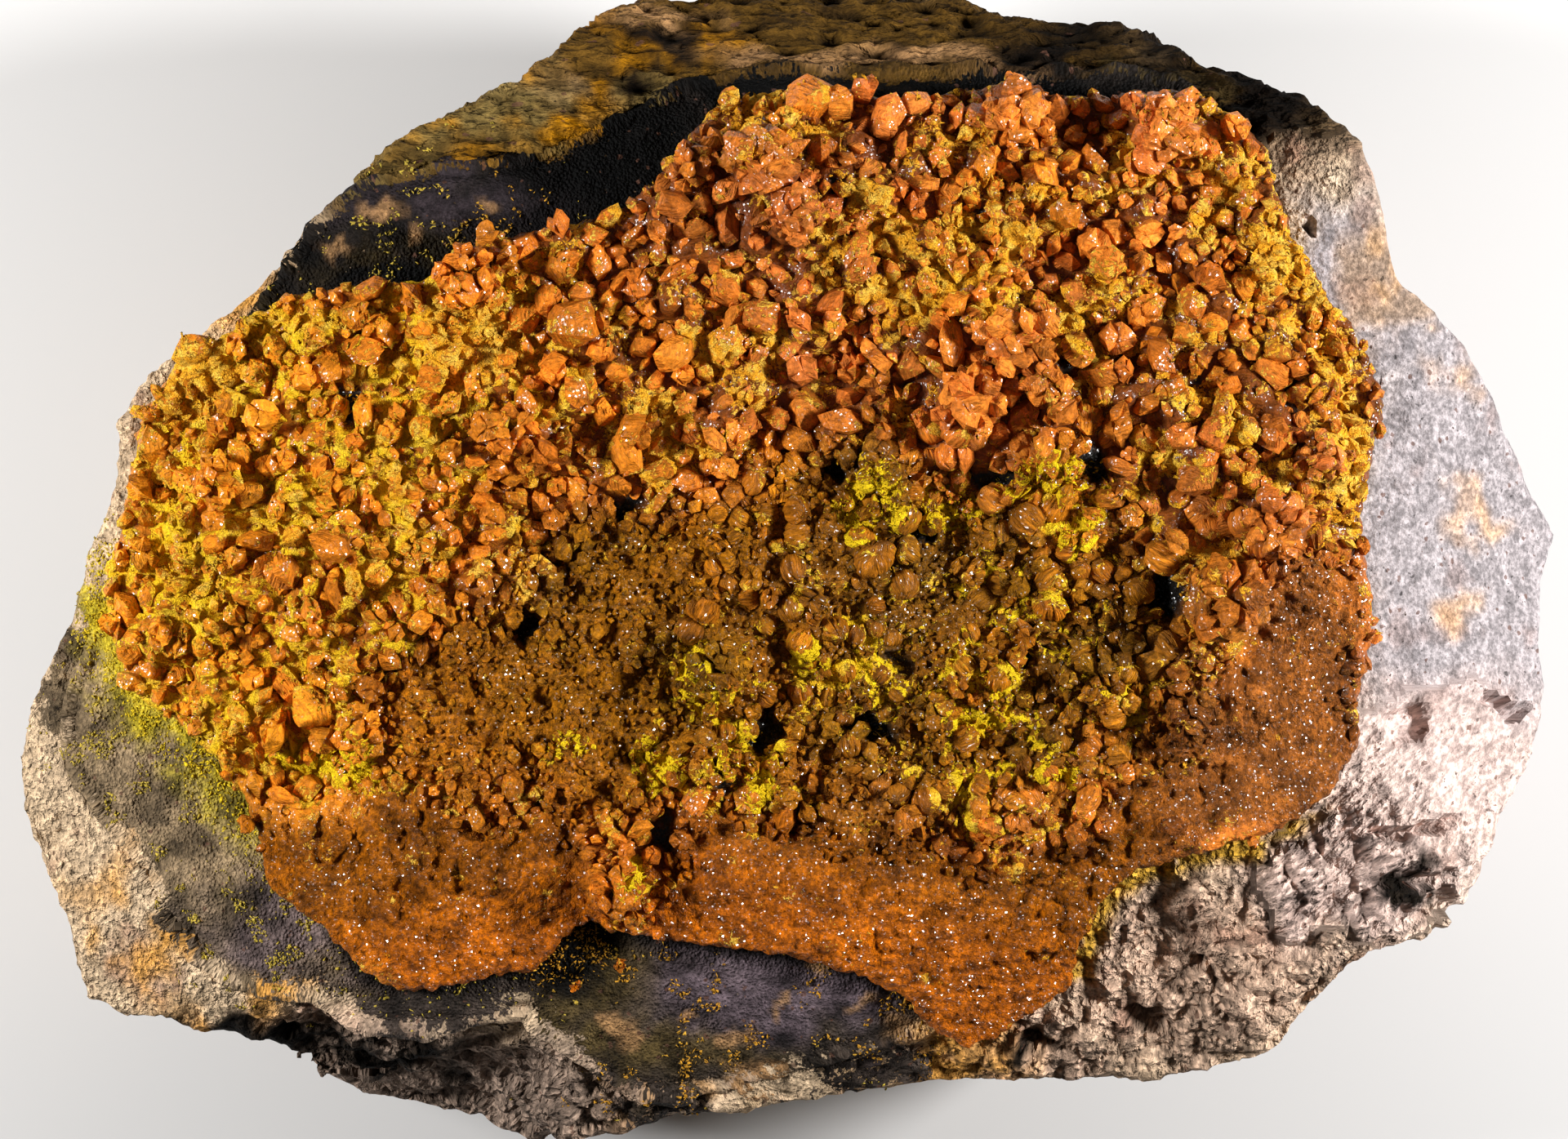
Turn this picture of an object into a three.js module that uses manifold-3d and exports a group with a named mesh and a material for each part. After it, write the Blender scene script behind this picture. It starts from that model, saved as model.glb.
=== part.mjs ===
// Francevillite on matrix: a broken hand specimen of sandstone, lying on its back.
// A dark oxide seam lies in the top of the sandstone, and an orange crystal crust lies over both.
// Millimetres, +Z up. The origin is on the resting face, under the middle of the specimen.
import * as THREE from "three";
import { mergeVertices } from "three/addons/utils/BufferGeometryUtils.js";
import Module from "manifold-3d";

const wasm = await Module();
wasm.setup();

// Driving dimensions.
const BEDDING_HEIGHT = 32; // the bedding surface that carries the crust, at its highest
const SEAM_THICKNESS = 2.4;
const CRUST_THICKNESS = 1.4; // where the crust is thin and even
const GAP = 0.35; // clearance between neighbouring pieces
const BASE_INSET = 9; // how far the resting face lies inside the widest outline
const SAMPLES = 84; // points round an outline
const CLEAR_ABOVE = 60; // a height well above the specimen
const CLEAR_BELOW = -10;

// One square grid carries every bedded surface, so that neighbouring surfaces run side by side.
const GRID = { step: 3.5, columns: 32, rows: 24 };

// The bedding surface is level in the middle and curves down towards each side:
// the direction of the side, how far out the level part reaches, and the bend per mm squared.
const FALLS = [
  { towards: [-1, 0], level: 24, bend: 0.013 },
  { towards: [1, 0], level: 31, bend: 0.03 },
  { towards: [0, 1], level: 20, bend: 0.03 },
  { towards: [0, -1], level: 18, bend: 0.024 },
];

// The widest outline of the rock, clockwise from the left.
const ROCK_OUTLINE = [
  [-51, -12.5], [-50.5, -10], [-48, -6.5], [-46, -3], [-44, 3], [-42.5, 10.5], [-41, 13], [-38, 14.5],
  [-32, 21], [-25.5, 27], [-17, 31.5], [-12, 36], [-8, 37.2], [0, 37.2], [11, 37.2], [15.5, 36], [23, 35.5],
  [25, 33.5], [33.5, 30.5], [36.5, 27.5], [39, 22], [40.5, 17.5], [43.5, 15.5], [46, 11.5], [47.5, 7],
  [51, 1], [49.8, -2.5], [50.5, -8.5], [49.5, -12], [45.5, -18.5], [44, -22.5], [40.5, -24.5], [35.5, -27],
  [33.5, -29.5], [31.5, -32], [23.5, -33], [7.5, -34.5], [-1, -35.8], [-8.5, -36], [-14, -37.2],
  [-19.5, -36.7], [-26, -35.5], [-31, -33.5], [-34, -31], [-39, -30], [-45.5, -30], [-47, -28], [-48, -22.5],
  [-50, -17],
];

// The edge of the crystal crust, clockwise from its left corner.
const CRUST_OUTLINE = [
  [-39.5, 12.5], [-35, 15.5], [-31, 17.5], [-27, 18], [-22, 18.5], [-19, 21], [-14, 21.5], [-8.5, 24],
  [-6, 27.5], [-3.5, 30], [1.5, 30.5], [8.5, 30], [15.5, 31], [19.5, 30], [26.5, 30.5], [30.5, 27.5],
  [32, 22.5], [34.5, 18], [38, 13], [38.5, 10], [37, 2.5], [38, -3.5], [37, -8.5], [37, -11], [35.5, -14],
  [33, -16.5], [28.5, -18], [22, -20], [19.5, -23], [18, -28], [14.5, -29.5], [13.3, -31.3], [10, -30.5],
  [8, -28], [3.5, -26], [-1, -25], [-8.5, -24], [-11, -23.6], [-13.5, -22.5], [-15.5, -26], [-19.5, -26.5],
  [-24, -27.5], [-27, -26.5], [-29, -24], [-32, -21.5], [-34, -19.5], [-34, -16.5], [-38, -11], [-41, -9],
  [-43.5, -5.5], [-44, -2.5], [-43, 2], [-42, 7.5],
];

// The edge of the dark seam. It shows left of, behind and in front of the crust, and ends under it on the right.
const SEAM_OUTLINE = [
  [-42.5, 0], [-40, 8], [-37, 12.5], [-33, 17.5], [-31, 20.5], [-28, 23.8], [-24.5, 25.3], [-17, 26.2],
  [-12, 28], [-8, 30], [-4, 31.6], [3, 32], [15.5, 31.8], [25, 31.3], [31, 25], [33, 18], [35, 10], [34, 0],
  [34, -10], [28, -15.5], [20, -17.5], [16, -22], [12, -28.5], [8, -30.5], [4, -31.5], [-1, -33],
  [-8.5, -34.6], [-13.5, -32], [-17, -29], [-21.5, -30], [-28, -29.6], [-30, -27.8], [-33.5, -27.5],
  [-37.5, -26], [-40.5, -21], [-43.5, -17], [-46.5, -12.5], [-46.5, -9], [-44.5, -4],
];

// Crystal rosettes that stand clear of the crust: middle x, y and radius.
const ROSETTES = [
  [-36.3, 5.4, 1.9], [-27.4, -11.1, 1.7], [-20.3, 18.6, 2.2], [-17.6, 8.6, 1.8], [-5.8, 25.6, 1.8],
  [-1.2, 26, 3], [0.8, 22.6, 2.1], [-4.3, -6.9, 2.2], [-4.6, -12.8, 1.9], [-10.8, -20.8, 2.1],
  [14.9, 14.4, 2.6], [16.6, 12, 1.9], [11.9, 10.5, 2.5], [15.2, 29, 2.4], [24.6, 27.9, 2.6],
  [6.8, 5.6, 1.6], [17.2, 7, 1.9], [9.7, -9.6, 1.7], [28.4, -2.2, 3], [31.6, 2.4, 2.4],
  [26.3, -9.9, 1.8], [34.6, 6.8, 1.8],
];

// Where the crust is thick, and the hollow in its middle: middle x, y, radius and height.
const CRUST_SWELLS = [
  { x: 8, y: 24, radius: 17, height: 2.6 },
  { x: 30, y: 8, radius: 13, height: 1.8 },
  { x: -30, y: 6, radius: 16, height: 1.2 },
  { x: 9, y: -2, radius: 13, height: -0.5 },
];
const CRUST_ROUGHNESS = 0.4;
const ROCK_ROUGHNESS = 0.5;

const ripple = (x, y) =>
  0.5 * Math.sin(x / 5.3 + 1) * Math.cos(y / 4.1) + 0.35 * Math.sin(x / 9.1 - y / 7.3);

function beddingHeight(x, y) {
  const fall = FALLS.map(({ towards, level, bend }) => {
    const beyond = Math.max(0, x * towards[0] + y * towards[1] - level);
    return bend * beyond ** 2;
  });
  return BEDDING_HEIGHT - fall.reduce((a, b) => a + b) + ripple(x, y);
}

// In front of the shelf at the left, the rock steps down to a lower lobe.
const LOBE = { fromX: -42, toX: -17, shelfY: -30.6, drop: 9 };

function rockHeight(x, y) {
  const inFront = THREE.MathUtils.smoothstep(LOBE.shelfY - y, 0, 2.5);
  const beside =
    THREE.MathUtils.smoothstep(x, LOBE.fromX, LOBE.fromX + 4) *
    (1 - THREE.MathUtils.smoothstep(x, LOBE.toX - 3, LOBE.toX + 3));
  return beddingHeight(x, y) - LOBE.drop * inFront * beside;
}

// Roughness with no pattern that an eye can follow, from -1 to 1.
function rough(a, b, c) {
  const s = Math.sin(a * 12.9898 + b * 78.233 + c * 37.719) * 43758.5453;
  return 2 * (s - Math.floor(s)) - 1;
}

function crustHeight(x, y) {
  const swells = CRUST_SWELLS.map(
    (s) => s.height * Math.exp(-((x - s.x) ** 2 + (y - s.y) ** 2) / s.radius ** 2),
  );
  return beddingHeight(x, y) + GAP + CRUST_THICKNESS + swells.reduce((a, b) => a + b);
}

// A smooth closed outline through hand-set points, counterclockwise, moved outwards by `grow`.
function outline(points, grow = 0) {
  const curve = new THREE.CatmullRomCurve3(
    points.map(([x, y]) => new THREE.Vector3(x, y, 0)),
    true,
    "centripetal",
  );
  const line = curve.getSpacedPoints(SAMPLES).slice(0, SAMPLES).reverse();
  return line.map((p, i) => {
    const next = line[(i + 1) % SAMPLES];
    const before = line[(i + SAMPLES - 1) % SAMPLES];
    const out = new THREE.Vector2(next.y - before.y, before.x - next.x).normalize();
    return [p.x + out.x * grow, p.y + out.y * grow];
  });
}

// A closed body from stacked rings of equal length, listed from its top to its underside,
// with a middle point that closes it above and below.
function ringBody(top, rings, bottom) {
  const count = rings[0].length;
  const positions = [top, ...rings.flat(), bottom].flat();
  const last = positions.length / 3 - 1;
  const at = (ring, i) => 1 + ring * count + (i % count);
  const faces = [];
  for (let i = 0; i < count; i++) {
    faces.push(0, at(0, i), at(0, i + 1));
    for (let r = 0; r + 1 < rings.length; r++) {
      faces.push(at(r, i), at(r + 1, i), at(r + 1, i + 1));
      faces.push(at(r, i), at(r + 1, i + 1), at(r, i + 1));
    }
    faces.push(last, at(rings.length - 1, i + 1), at(rings.length - 1, i));
  }
  const geometry = new THREE.BufferGeometry();
  geometry.setAttribute("position", new THREE.Float32BufferAttribute(positions, 3));
  geometry.setIndex(faces);
  return geometry;
}

function solid(geometry) {
  const bare = geometry.clone();
  bare.deleteAttribute("normal");
  bare.deleteAttribute("uv");
  const merged = mergeVertices(bare, 1e-4);
  return new wasm.Manifold(
    new wasm.Mesh({
      numProp: 3,
      vertProperties: merged.attributes.position.array,
      triVerts: new Uint32Array(merged.index.array),
    }),
  );
}

function geometryOf(manifold) {
  const { vertProperties, triVerts } = manifold.getMesh();
  const geometry = new THREE.BufferGeometry();
  geometry.setAttribute("position", new THREE.BufferAttribute(vertProperties, 3));
  geometry.setIndex(new THREE.BufferAttribute(triVerts, 1));
  geometry.computeVertexNormals();
  return geometry;
}

// A slab between two surfaces on the grid, wider than the specimen.
function slab(upper, lower) {
  const { step, columns, rows } = GRID;
  const geometry = new THREE.BoxGeometry(step * columns, step * rows, 2, columns, rows, 1);
  const points = geometry.attributes.position;
  for (let i = 0; i < points.count; i++) {
    const surface = points.getZ(i) > 0 ? upper : lower;
    points.setZ(i, surface(points.getX(i), points.getY(i)));
  }
  return solid(geometry);
}

// An upright column with an outline as its section.
function column(line) {
  const shape = new THREE.Shape(line.map(([x, y]) => new THREE.Vector2(x, y)));
  const depth = CLEAR_ABOVE - CLEAR_BELOW;
  const geometry = new THREE.ExtrudeGeometry(shape, { depth, bevelEnabled: false });
  return solid(geometry.translate(0, 0, CLEAR_BELOW));
}

// A solid moved point by point for an uneven look, then squashed, turned and set in place.
function lump({ shape, at, radii, turn = 0, uneven = 0 }) {
  const geometry = mergeVertices(shape.deleteAttribute("normal").deleteAttribute("uv"), 1e-4);
  const points = geometry.attributes.position;
  for (let i = 0; i < points.count; i++) {
    const scale = 1 + uneven * rough(at[0], at[1], i);
    points.setXYZ(i, points.getX(i) * scale, points.getY(i) * scale, points.getZ(i) * scale);
  }
  return solid(geometry.scale(...radii).rotateZ(turn).translate(...at));
}

const crystalLump = (place) => lump({ shape: new THREE.DodecahedronGeometry(1), ...place });

// The rock below its widest outline: how far each ring lies inside it, as a share of the base's inset,
// its height as a share of the rim's, and how uneven it is in mm.
const SIDE_RINGS = [
  { inset: 0.02, level: 0.9, uneven: 0.5 },
  { inset: 0.16, level: 0.72, uneven: 1 },
  { inset: 0.3, level: 0.52, uneven: 1.2 },
  { inset: 0.52, level: 0.32, uneven: 1.2 },
  { inset: 0.72, level: 0.14, uneven: 0.9 },
  { inset: 1, level: 0, uneven: 0 },
];

// Deep hollows in the rock: the groove at the foot of the shelf, and one in the broken corner at the front right.
const HOLLOWS = [
  { at: [-31, -31.7, 19.4], radii: [6.5, 1.7, 2.6], turn: -0.1 },
  { at: [-22.5, -31.2, 20.4], radii: [5.5, 1.6, 2.4], turn: -0.05 },
  { at: [39.5, -24.4, 14], radii: [6, 1.9, 3.2], turn: 0.5 },
];

// The rock's sides and resting face, with no top surface yet.
function rockBlank() {
  const rim = outline(ROCK_OUTLINE).map(([x, y]) => [x, y, rockHeight(x, y)]);
  const cap = rim.map(([x, y]) => [x, y, CLEAR_ABOVE]);
  const sides = SIDE_RINGS.map(({ inset, level, uneven }, n) =>
    rim.map(([x, y, z], i) => {
      const blocky = Math.sin(i / 2.6 + n) + 0.6 * Math.sin(i / 1.4);
      const inwards = BASE_INSET * inset + uneven * (0.5 * blocky + 0.5 * rough(i, n, 2));
      const share = 1 - inwards / Math.hypot(x, y);
      return [x * share, y * share, z * level];
    }),
  );
  return solid(ringBody([0, 0, CLEAR_ABOVE], [cap, ...sides], [0, 0, 0]));
}

function sandstoneMatrix() {
  const top = slab(
    (x, y) => rockHeight(x, y) - ROCK_ROUGHNESS * Math.abs(rough(x, y, 1)),
    () => CLEAR_BELOW,
  );
  const pocket = slab(() => CLEAR_ABOVE, (x, y) => beddingHeight(x, y) - SEAM_THICKNESS - GAP);
  const cuts = [
    pocket.intersect(column(outline(SEAM_OUTLINE, GAP))),
    ...HOLLOWS.map((hollow) => lump({ shape: new THREE.IcosahedronGeometry(1, 1), ...hollow })),
  ];
  return cuts.reduce((rock, cut) => rock.subtract(cut), rockBlank().intersect(top));
}

function darkSeam() {
  const bed = slab(beddingHeight, (x, y) => beddingHeight(x, y) - SEAM_THICKNESS);
  return bed.intersect(column(outline(SEAM_OUTLINE)));
}

function rosette([x, y, radius], i) {
  const z = crustHeight(x, y) + 0.15 * radius;
  return crystalLump({ at: [x, y, z], radii: [radius, radius, radius * 0.8], turn: i, uneven: 0.1 });
}

function francevilliteCrust() {
  const sheet = slab(
    (x, y) => crustHeight(x, y) + CRUST_ROUGHNESS * rough(x, y, 3),
    (x, y) => beddingHeight(x, y) + GAP,
  );
  const crust = sheet.intersect(column(outline(CRUST_OUTLINE)));
  return ROSETTES.map(rosette).reduce((grown, next) => grown.add(next), crust);
}

// Two loose-looking crumbs of crust on the seam, in the notch of the crust's front edge: x, y and size.
const NUGGETS = {
  crust_nugget_left: [-13.4, -27.2, 0.75],
  crust_nugget_right: [-10.6, -25.9, 0.95],
};

function nugget([x, y, size]) {
  const z = beddingHeight(x, y) + GAP + 0.75 * size;
  return crystalLump({ at: [x, y, z], radii: [size, size * 0.7, size * 0.6], turn: 0.4, uneven: 0.1 });
}

function piece(name, manifold, material) {
  const mesh = new THREE.Mesh(geometryOf(manifold), material);
  mesh.name = name;
  return mesh;
}

const sandstone = new THREE.MeshStandardMaterial({ color: 0xc4b8a8, roughness: 0.95, metalness: 0 });
const darkOxide = new THREE.MeshStandardMaterial({ color: 0x3b3638, roughness: 0.7, metalness: 0 });
const francevillite = new THREE.MeshStandardMaterial({ color: 0xc65f1c, roughness: 0.4, metalness: 0 });

const specimen = new THREE.Group();
specimen.add(
  piece("sandstone_matrix", sandstoneMatrix(), sandstone),
  piece("dark_seam", darkSeam(), darkOxide),
  piece("francevillite_crust", francevilliteCrust(), francevillite),
);
for (const [name, place] of Object.entries(NUGGETS)) {
  specimen.add(piece(name, nugget(place), francevillite));
}

export default specimen;
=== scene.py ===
"""Looks for the francevillite on matrix: broken sandstone, a dark oxide seam, and a crust of orange
and yellow crystals. The frame gives every place. Shapes are worked out in millimetres in the frame's
axes, and written as meshes in metres.
"""

import itertools
import math

import bmesh
import bpy
import numpy as np
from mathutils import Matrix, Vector
from mathutils.bvhtree import BVHTree
from mathutils.kdtree import KDTree


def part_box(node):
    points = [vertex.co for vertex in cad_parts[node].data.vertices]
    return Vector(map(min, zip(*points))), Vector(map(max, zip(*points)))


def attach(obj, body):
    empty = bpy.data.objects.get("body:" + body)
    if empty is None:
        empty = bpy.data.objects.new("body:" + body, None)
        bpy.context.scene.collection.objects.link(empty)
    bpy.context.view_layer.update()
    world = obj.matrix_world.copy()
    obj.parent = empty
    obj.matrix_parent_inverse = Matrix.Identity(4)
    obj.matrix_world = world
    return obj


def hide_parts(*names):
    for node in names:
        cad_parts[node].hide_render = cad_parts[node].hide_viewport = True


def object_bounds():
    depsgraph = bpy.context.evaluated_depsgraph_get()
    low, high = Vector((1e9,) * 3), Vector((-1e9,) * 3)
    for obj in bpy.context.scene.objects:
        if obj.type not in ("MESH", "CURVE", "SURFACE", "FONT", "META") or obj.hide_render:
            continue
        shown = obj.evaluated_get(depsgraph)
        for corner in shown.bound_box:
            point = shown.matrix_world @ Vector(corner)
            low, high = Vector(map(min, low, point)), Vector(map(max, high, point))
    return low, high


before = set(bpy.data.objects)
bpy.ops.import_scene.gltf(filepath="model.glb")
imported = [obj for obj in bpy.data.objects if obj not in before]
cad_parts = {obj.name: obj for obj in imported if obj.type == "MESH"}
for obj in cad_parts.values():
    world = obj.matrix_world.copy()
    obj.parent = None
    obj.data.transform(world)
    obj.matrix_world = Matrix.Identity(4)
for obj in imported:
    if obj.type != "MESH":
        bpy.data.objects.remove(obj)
cad_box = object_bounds()

MM = 0.001
UP = Vector((0, 0, 1))
DOWN = Vector((0, 0, -1))
SEED = 41
STEEP = 0.3  # the most that an upright face looks up or down


# ---- numbers, noise and places

def rgb(red, green, blue):
    """A colour given as 0 to 255 a channel, as linear light."""
    share = np.array([red, green, blue]) / 255
    return np.where(share <= 0.04045, share / 12.92, ((share + 0.055) / 1.055) ** 2.4)


def smooth(value, low, high):
    """0 below low, 1 above high, and an even curve between."""
    t = np.clip((value - low) / (high - low), 0, 1)
    return t * t * (3 - 2 * t)


def mix(a, b, share):
    """Rows of a turned towards b by a share for each row. Both may also be a single colour."""
    return a + (b - a) * np.asarray(share)[..., None]


def hashed(cell, seed):
    """A number from 0 to 1 for each row of whole numbers."""
    primes = np.array([73856093, 19349663, 83492791])[: cell.shape[1]]
    n = (cell.astype(np.int64) @ primes + seed * 668265263) & 0xFFFFFFFF
    n = ((n ^ (n >> 15)) * 1274126177) & 0xFFFFFFFF
    n = ((n ^ (n >> 13)) * 1103515245) & 0xFFFFFFFF
    n = n ^ (n >> 16)
    return (n & 0xFFFFFF) / 0xFFFFFF


def noise(points, scale, seed):
    """Smooth noise from -1 to 1, with features about `scale` across."""
    p = points / scale
    cell = np.floor(p)
    t = p - cell
    t = t * t * (3 - 2 * t)
    total = np.zeros(len(p))
    for corner in itertools.product((0, 1), repeat=p.shape[1]):
        weight = np.prod(np.where(corner, t, 1 - t), axis=1)
        total += weight * hashed(cell + corner, seed)
    return 2 * total - 1


def fractal(points, scale, octaves, seed):
    """Noise with finer and fainter noise added to it."""
    return sum(noise(points, scale / 2**k, seed + k) / 2**k for k in range(octaves))


def nearby_spots(points, size, seed):
    """Spots scattered one to a cell, with cells `size` mm wide. For each of the cells round each point,
    gives the cell and the squared distance to its spot, in cell sizes."""
    p = points / size
    base = np.floor(p)
    dims = p.shape[1]
    for step in itertools.product((-1, 0, 1), repeat=dims):
        cell = base + step
        spot = cell + np.stack([hashed(cell, seed + k) for k in range(dims)], axis=1)
        yield cell, ((spot - p) ** 2).sum(axis=1)


def cells(points, size, seed):
    """Distances to the nearest of scattered spots, in cell sizes."""
    return np.sqrt(np.min([squared for _, squared in nearby_spots(points, size, seed)], axis=0))


def domes(points, size, seed):
    """Heights of rounded mounds of about `size` mm, which run into each other."""
    height = np.zeros(len(points))
    for cell, squared in nearby_spots(points, size, seed):
        radius = 0.45 + 0.35 * hashed(cell, seed + 7)
        height = np.maximum(height, radius**2 - squared)
    return size * np.sqrt(height)


def warped(xy, reach, scale, seed):
    """Places moved about, so that a shape drawn on them has a ragged edge."""
    shift = np.stack([fractal(xy, scale, 3, seed), fractal(xy, scale, 3, seed + 50)], axis=1)
    return xy + reach * shift


def zone(places, ragged=1.2, scale=3.0, edge=0.45, seed=1):
    """A part of the specimen as seen from above, made of ellipses (x, y, x radius, y radius) in mm.
    Its edge wanders by `ragged` mm in bays about `scale` mm wide, and `edge` is how softly it fades."""

    def inside(xy, ragged=ragged, scale=scale, edge=edge, seed=seed):
        """1 inside the zone and 0 outside it."""
        x, y = warped(xy, ragged, scale, seed).T
        most = np.zeros(len(xy))
        for middle_x, middle_y, across, deep in places:
            away = np.hypot((x - middle_x) / across, (y - middle_y) / deep)
            most = np.maximum(most, 1 - smooth(away, 1 - edge, 1 + edge))
        return most

    return inside


def layered(tint, xy, layers):
    """A colour with others laid over it, each by its share inside its zone."""
    for over, share, inside in layers:
        tint = mix(tint, over, share * inside(xy))
    return tint


# ---- meshes

def numbers(items, name, width, kind):
    """One row of numbers for each item of a mesh."""
    flat = np.zeros(len(items) * width, kind)
    items.foreach_get(name, flat)
    return flat.reshape(-1, width)


def points_of(mesh):
    """The mesh's corners in mm."""
    return numbers(mesh.vertices, "co", 3, np.float32).astype(float) / MM


def normals_of(mesh):
    return numbers(mesh.vertex_normals, "vector", 3, np.float32).astype(float)


def triangles_of(mesh):
    mesh.calc_loop_triangles()
    return numbers(mesh.loop_triangles, "vertices", 3, np.int32)


def set_points(mesh, points):
    mesh.vertices.foreach_set("co", (points * MM).astype(np.float32).ravel())
    mesh.update()


def set_attributes(mesh, attributes):
    """Values for each corner, which the materials read by name."""
    for name, values in attributes.items():
        layer = mesh.attributes.new(name, "FLOAT_VECTOR", "POINT")
        layer.data.foreach_set("vector", np.asarray(values, np.float32).ravel())


def new_piece(name, mesh, material, replaced=()):
    """Puts a mesh into the scene as a piece of the specimen."""
    piece = bpy.data.objects.new(name, mesh)
    bpy.context.scene.collection.objects.link(piece)
    mesh.materials.clear()
    mesh.materials.append(material)
    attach(piece, "root")
    if replaced:
        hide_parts(*replaced)
    return piece


def mesh_from(name, points, faces):
    mesh = bpy.data.meshes.new(name)
    mesh.vertices.add(len(points))
    mesh.loops.add(faces.size)
    mesh.polygons.add(len(faces))
    mesh.loops.foreach_set("vertex_index", faces.ravel().astype(np.int32))
    mesh.polygons.foreach_set("loop_start", np.arange(0, faces.size, faces.shape[1], dtype=np.int32))
    set_points(mesh, points)
    mesh.validate()
    return mesh


def tree_of(points, faces):
    """A search tree in mm."""
    return BVHTree.FromPolygons(points.tolist(), faces.tolist())


def cad_tree(cad_node, walls_only=False):
    """A search tree of a CAD node's faces, or of its upright faces alone."""
    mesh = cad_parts[cad_node].data
    points, faces = points_of(mesh), triangles_of(mesh)
    if walls_only:
        a, b, c = (points[faces[:, k]] for k in range(3))
        normal = np.cross(b - a, c - a)
        faces = faces[np.abs(normal[:, 2]) < STEEP * np.linalg.norm(normal, axis=1)]
    return tree_of(points, faces)


def is_below(tree, points, reach=2.0):
    """Whether a node lies over each point, less than `reach` mm above it."""
    return np.array([tree.ray_cast(Vector(p), UP, reach)[0] is not None for p in points])


def distance_to(tree, points):
    """Distances to the nearest place on the tree's faces, in mm."""
    return np.array([tree.find_nearest(Vector(p))[3] for p in points])


def modified(obj, kind, **settings):
    """Applies one modifier to the object's mesh."""
    modifier = obj.modifiers.new(kind, kind)
    for key, value in settings.items():
        setattr(modifier, key, value)
    graph = bpy.context.evaluated_depsgraph_get()
    mesh = bpy.data.meshes.new_from_object(obj.evaluated_get(graph))
    obj.modifiers.clear()
    obj.data = mesh
    return mesh


def drop_crumbs(mesh):
    """Keeps the largest connected part of a mesh."""
    a, b = numbers(mesh.edges, "vertices", 2, np.int32).T
    label = np.arange(len(mesh.vertices))
    while (label[a] != label[b]).any():
        lowest = np.minimum(label[a], label[b])
        np.minimum.at(label, label[a], lowest)
        np.minimum.at(label, label[b], lowest)
        label = label[label]
    loose = np.flatnonzero(label != np.bincount(label).argmax())
    if len(loose):
        shape = bmesh.new()
        shape.from_mesh(mesh)
        shape.verts.ensure_lookup_table()
        bmesh.ops.delete(shape, geom=[shape.verts[k] for k in loose], context="VERTS")
        shape.to_mesh(mesh)
        shape.free()


def fine_mesh(cad_node, voxel, hidden, most_triangles):
    """An even fine mesh of a CAD node, kept coarse where `hidden` says that it can't be seen."""
    obj = bpy.data.objects.new(cad_node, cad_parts[cad_node].data.copy())
    bpy.context.scene.collection.objects.link(obj)
    mesh = modified(obj, "REMESH", mode="VOXEL", voxel_size=voxel * MM)
    drop_crumbs(mesh)
    group = obj.vertex_groups.new(name="hidden")
    group.add(np.flatnonzero(hidden(points_of(mesh))).tolist(), 1.0, "REPLACE")
    ratio = min(1.0, most_triangles / (2 * len(mesh.polygons)))
    mesh = modified(obj, "DECIMATE", ratio=ratio, vertex_group="hidden", use_collapse_triangulate=True)
    bpy.data.objects.remove(obj)
    mesh.shade_smooth()
    return mesh


crust_over = cad_tree("francevillite_crust")
seam_over = cad_tree("dark_seam")
crust_edge = cad_tree("francevillite_crust", walls_only=True)
seam_edge = cad_tree("dark_seam", walls_only=True)


# ---- materials

def node(tree, kind, inputs=None, **settings):
    made = tree.nodes.new("ShaderNode" + kind)
    for key, value in settings.items():
        setattr(made, key, value)
    for key, value in (inputs or {}).items():
        if isinstance(value, bpy.types.NodeSocket):
            tree.links.new(value, made.inputs[key])
        else:
            made.inputs[key].default_value = value
    return made


def maths(tree, operation, *values):
    return node(tree, "Math", dict(enumerate(values)), operation=operation).outputs[0]


def vectors(tree, operation, *values):
    return node(tree, "VectorMath", dict(enumerate(values)), operation=operation).outputs[0]


def parts(tree, vector):
    """A vector's three numbers."""
    return node(tree, "SeparateXYZ", {0: vector}).outputs


def scaled(tree, vector, by):
    return node(tree, "VectorMath", {0: vector, "Scale": by}, operation="SCALE").outputs[0]


def blend_colours(tree, share, a, b, blend="MIX"):
    made = node(tree, "Mix", {0: share, 6: a, 7: b}, data_type="RGBA", blend_type=blend)
    return made.outputs[2]


def ramp(tree, value, low, high, to_low=0, to_high=1):
    inputs = {"Value": value, "From Min": low, "From Max": high, "To Min": to_low, "To Max": to_high}
    return node(tree, "MapRange", inputs, interpolation_type="SMOOTHSTEP").outputs[0]


def attribute(tree, name):
    return node(tree, "Attribute", attribute_name=name).outputs["Vector"]


def texture_noise(tree, place, scale, detail=3, roughness=0.6, distortion=0):
    look = {"Scale": scale, "Detail": detail, "Roughness": roughness, "Distortion": distortion}
    return node(tree, "TexNoise", {"Vector": place, **look}).outputs["Fac"]


def bumped(tree, height, distance, strength):
    return node(tree, "Bump", {"Height": height, "Distance": distance, "Strength": strength}).outputs[0]


def shaded(tree, tint, *shades):
    """A colour made lighter and darker by each shade, where 1 leaves it as it is."""
    for shade in shades:
        grey = node(tree, "CombineColor", {0: shade, 1: shade, 2: shade}).outputs[0]
        tint = blend_colours(tree, 1, tint, grey, "MULTIPLY")
    return tint


def colour(value):
    return (*value, 1)


def empty_material(name):
    material = bpy.data.materials.new(name)
    material.use_nodes = True
    material.node_tree.nodes.clear()
    return material, material.node_tree


def finish_material(tree, inputs):
    shader = node(tree, "BsdfPrincipled", inputs)
    node(tree, "OutputMaterial", {"Surface": shader.outputs[0]})


GOLD = rgb(252, 176, 42)
LEMON = rgb(254, 212, 30)
PALE_GOLD = rgb(254, 204, 80)
SPECK_BROWN = rgb(84, 56, 44)
MINERAL_IOR = 1.5


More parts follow.
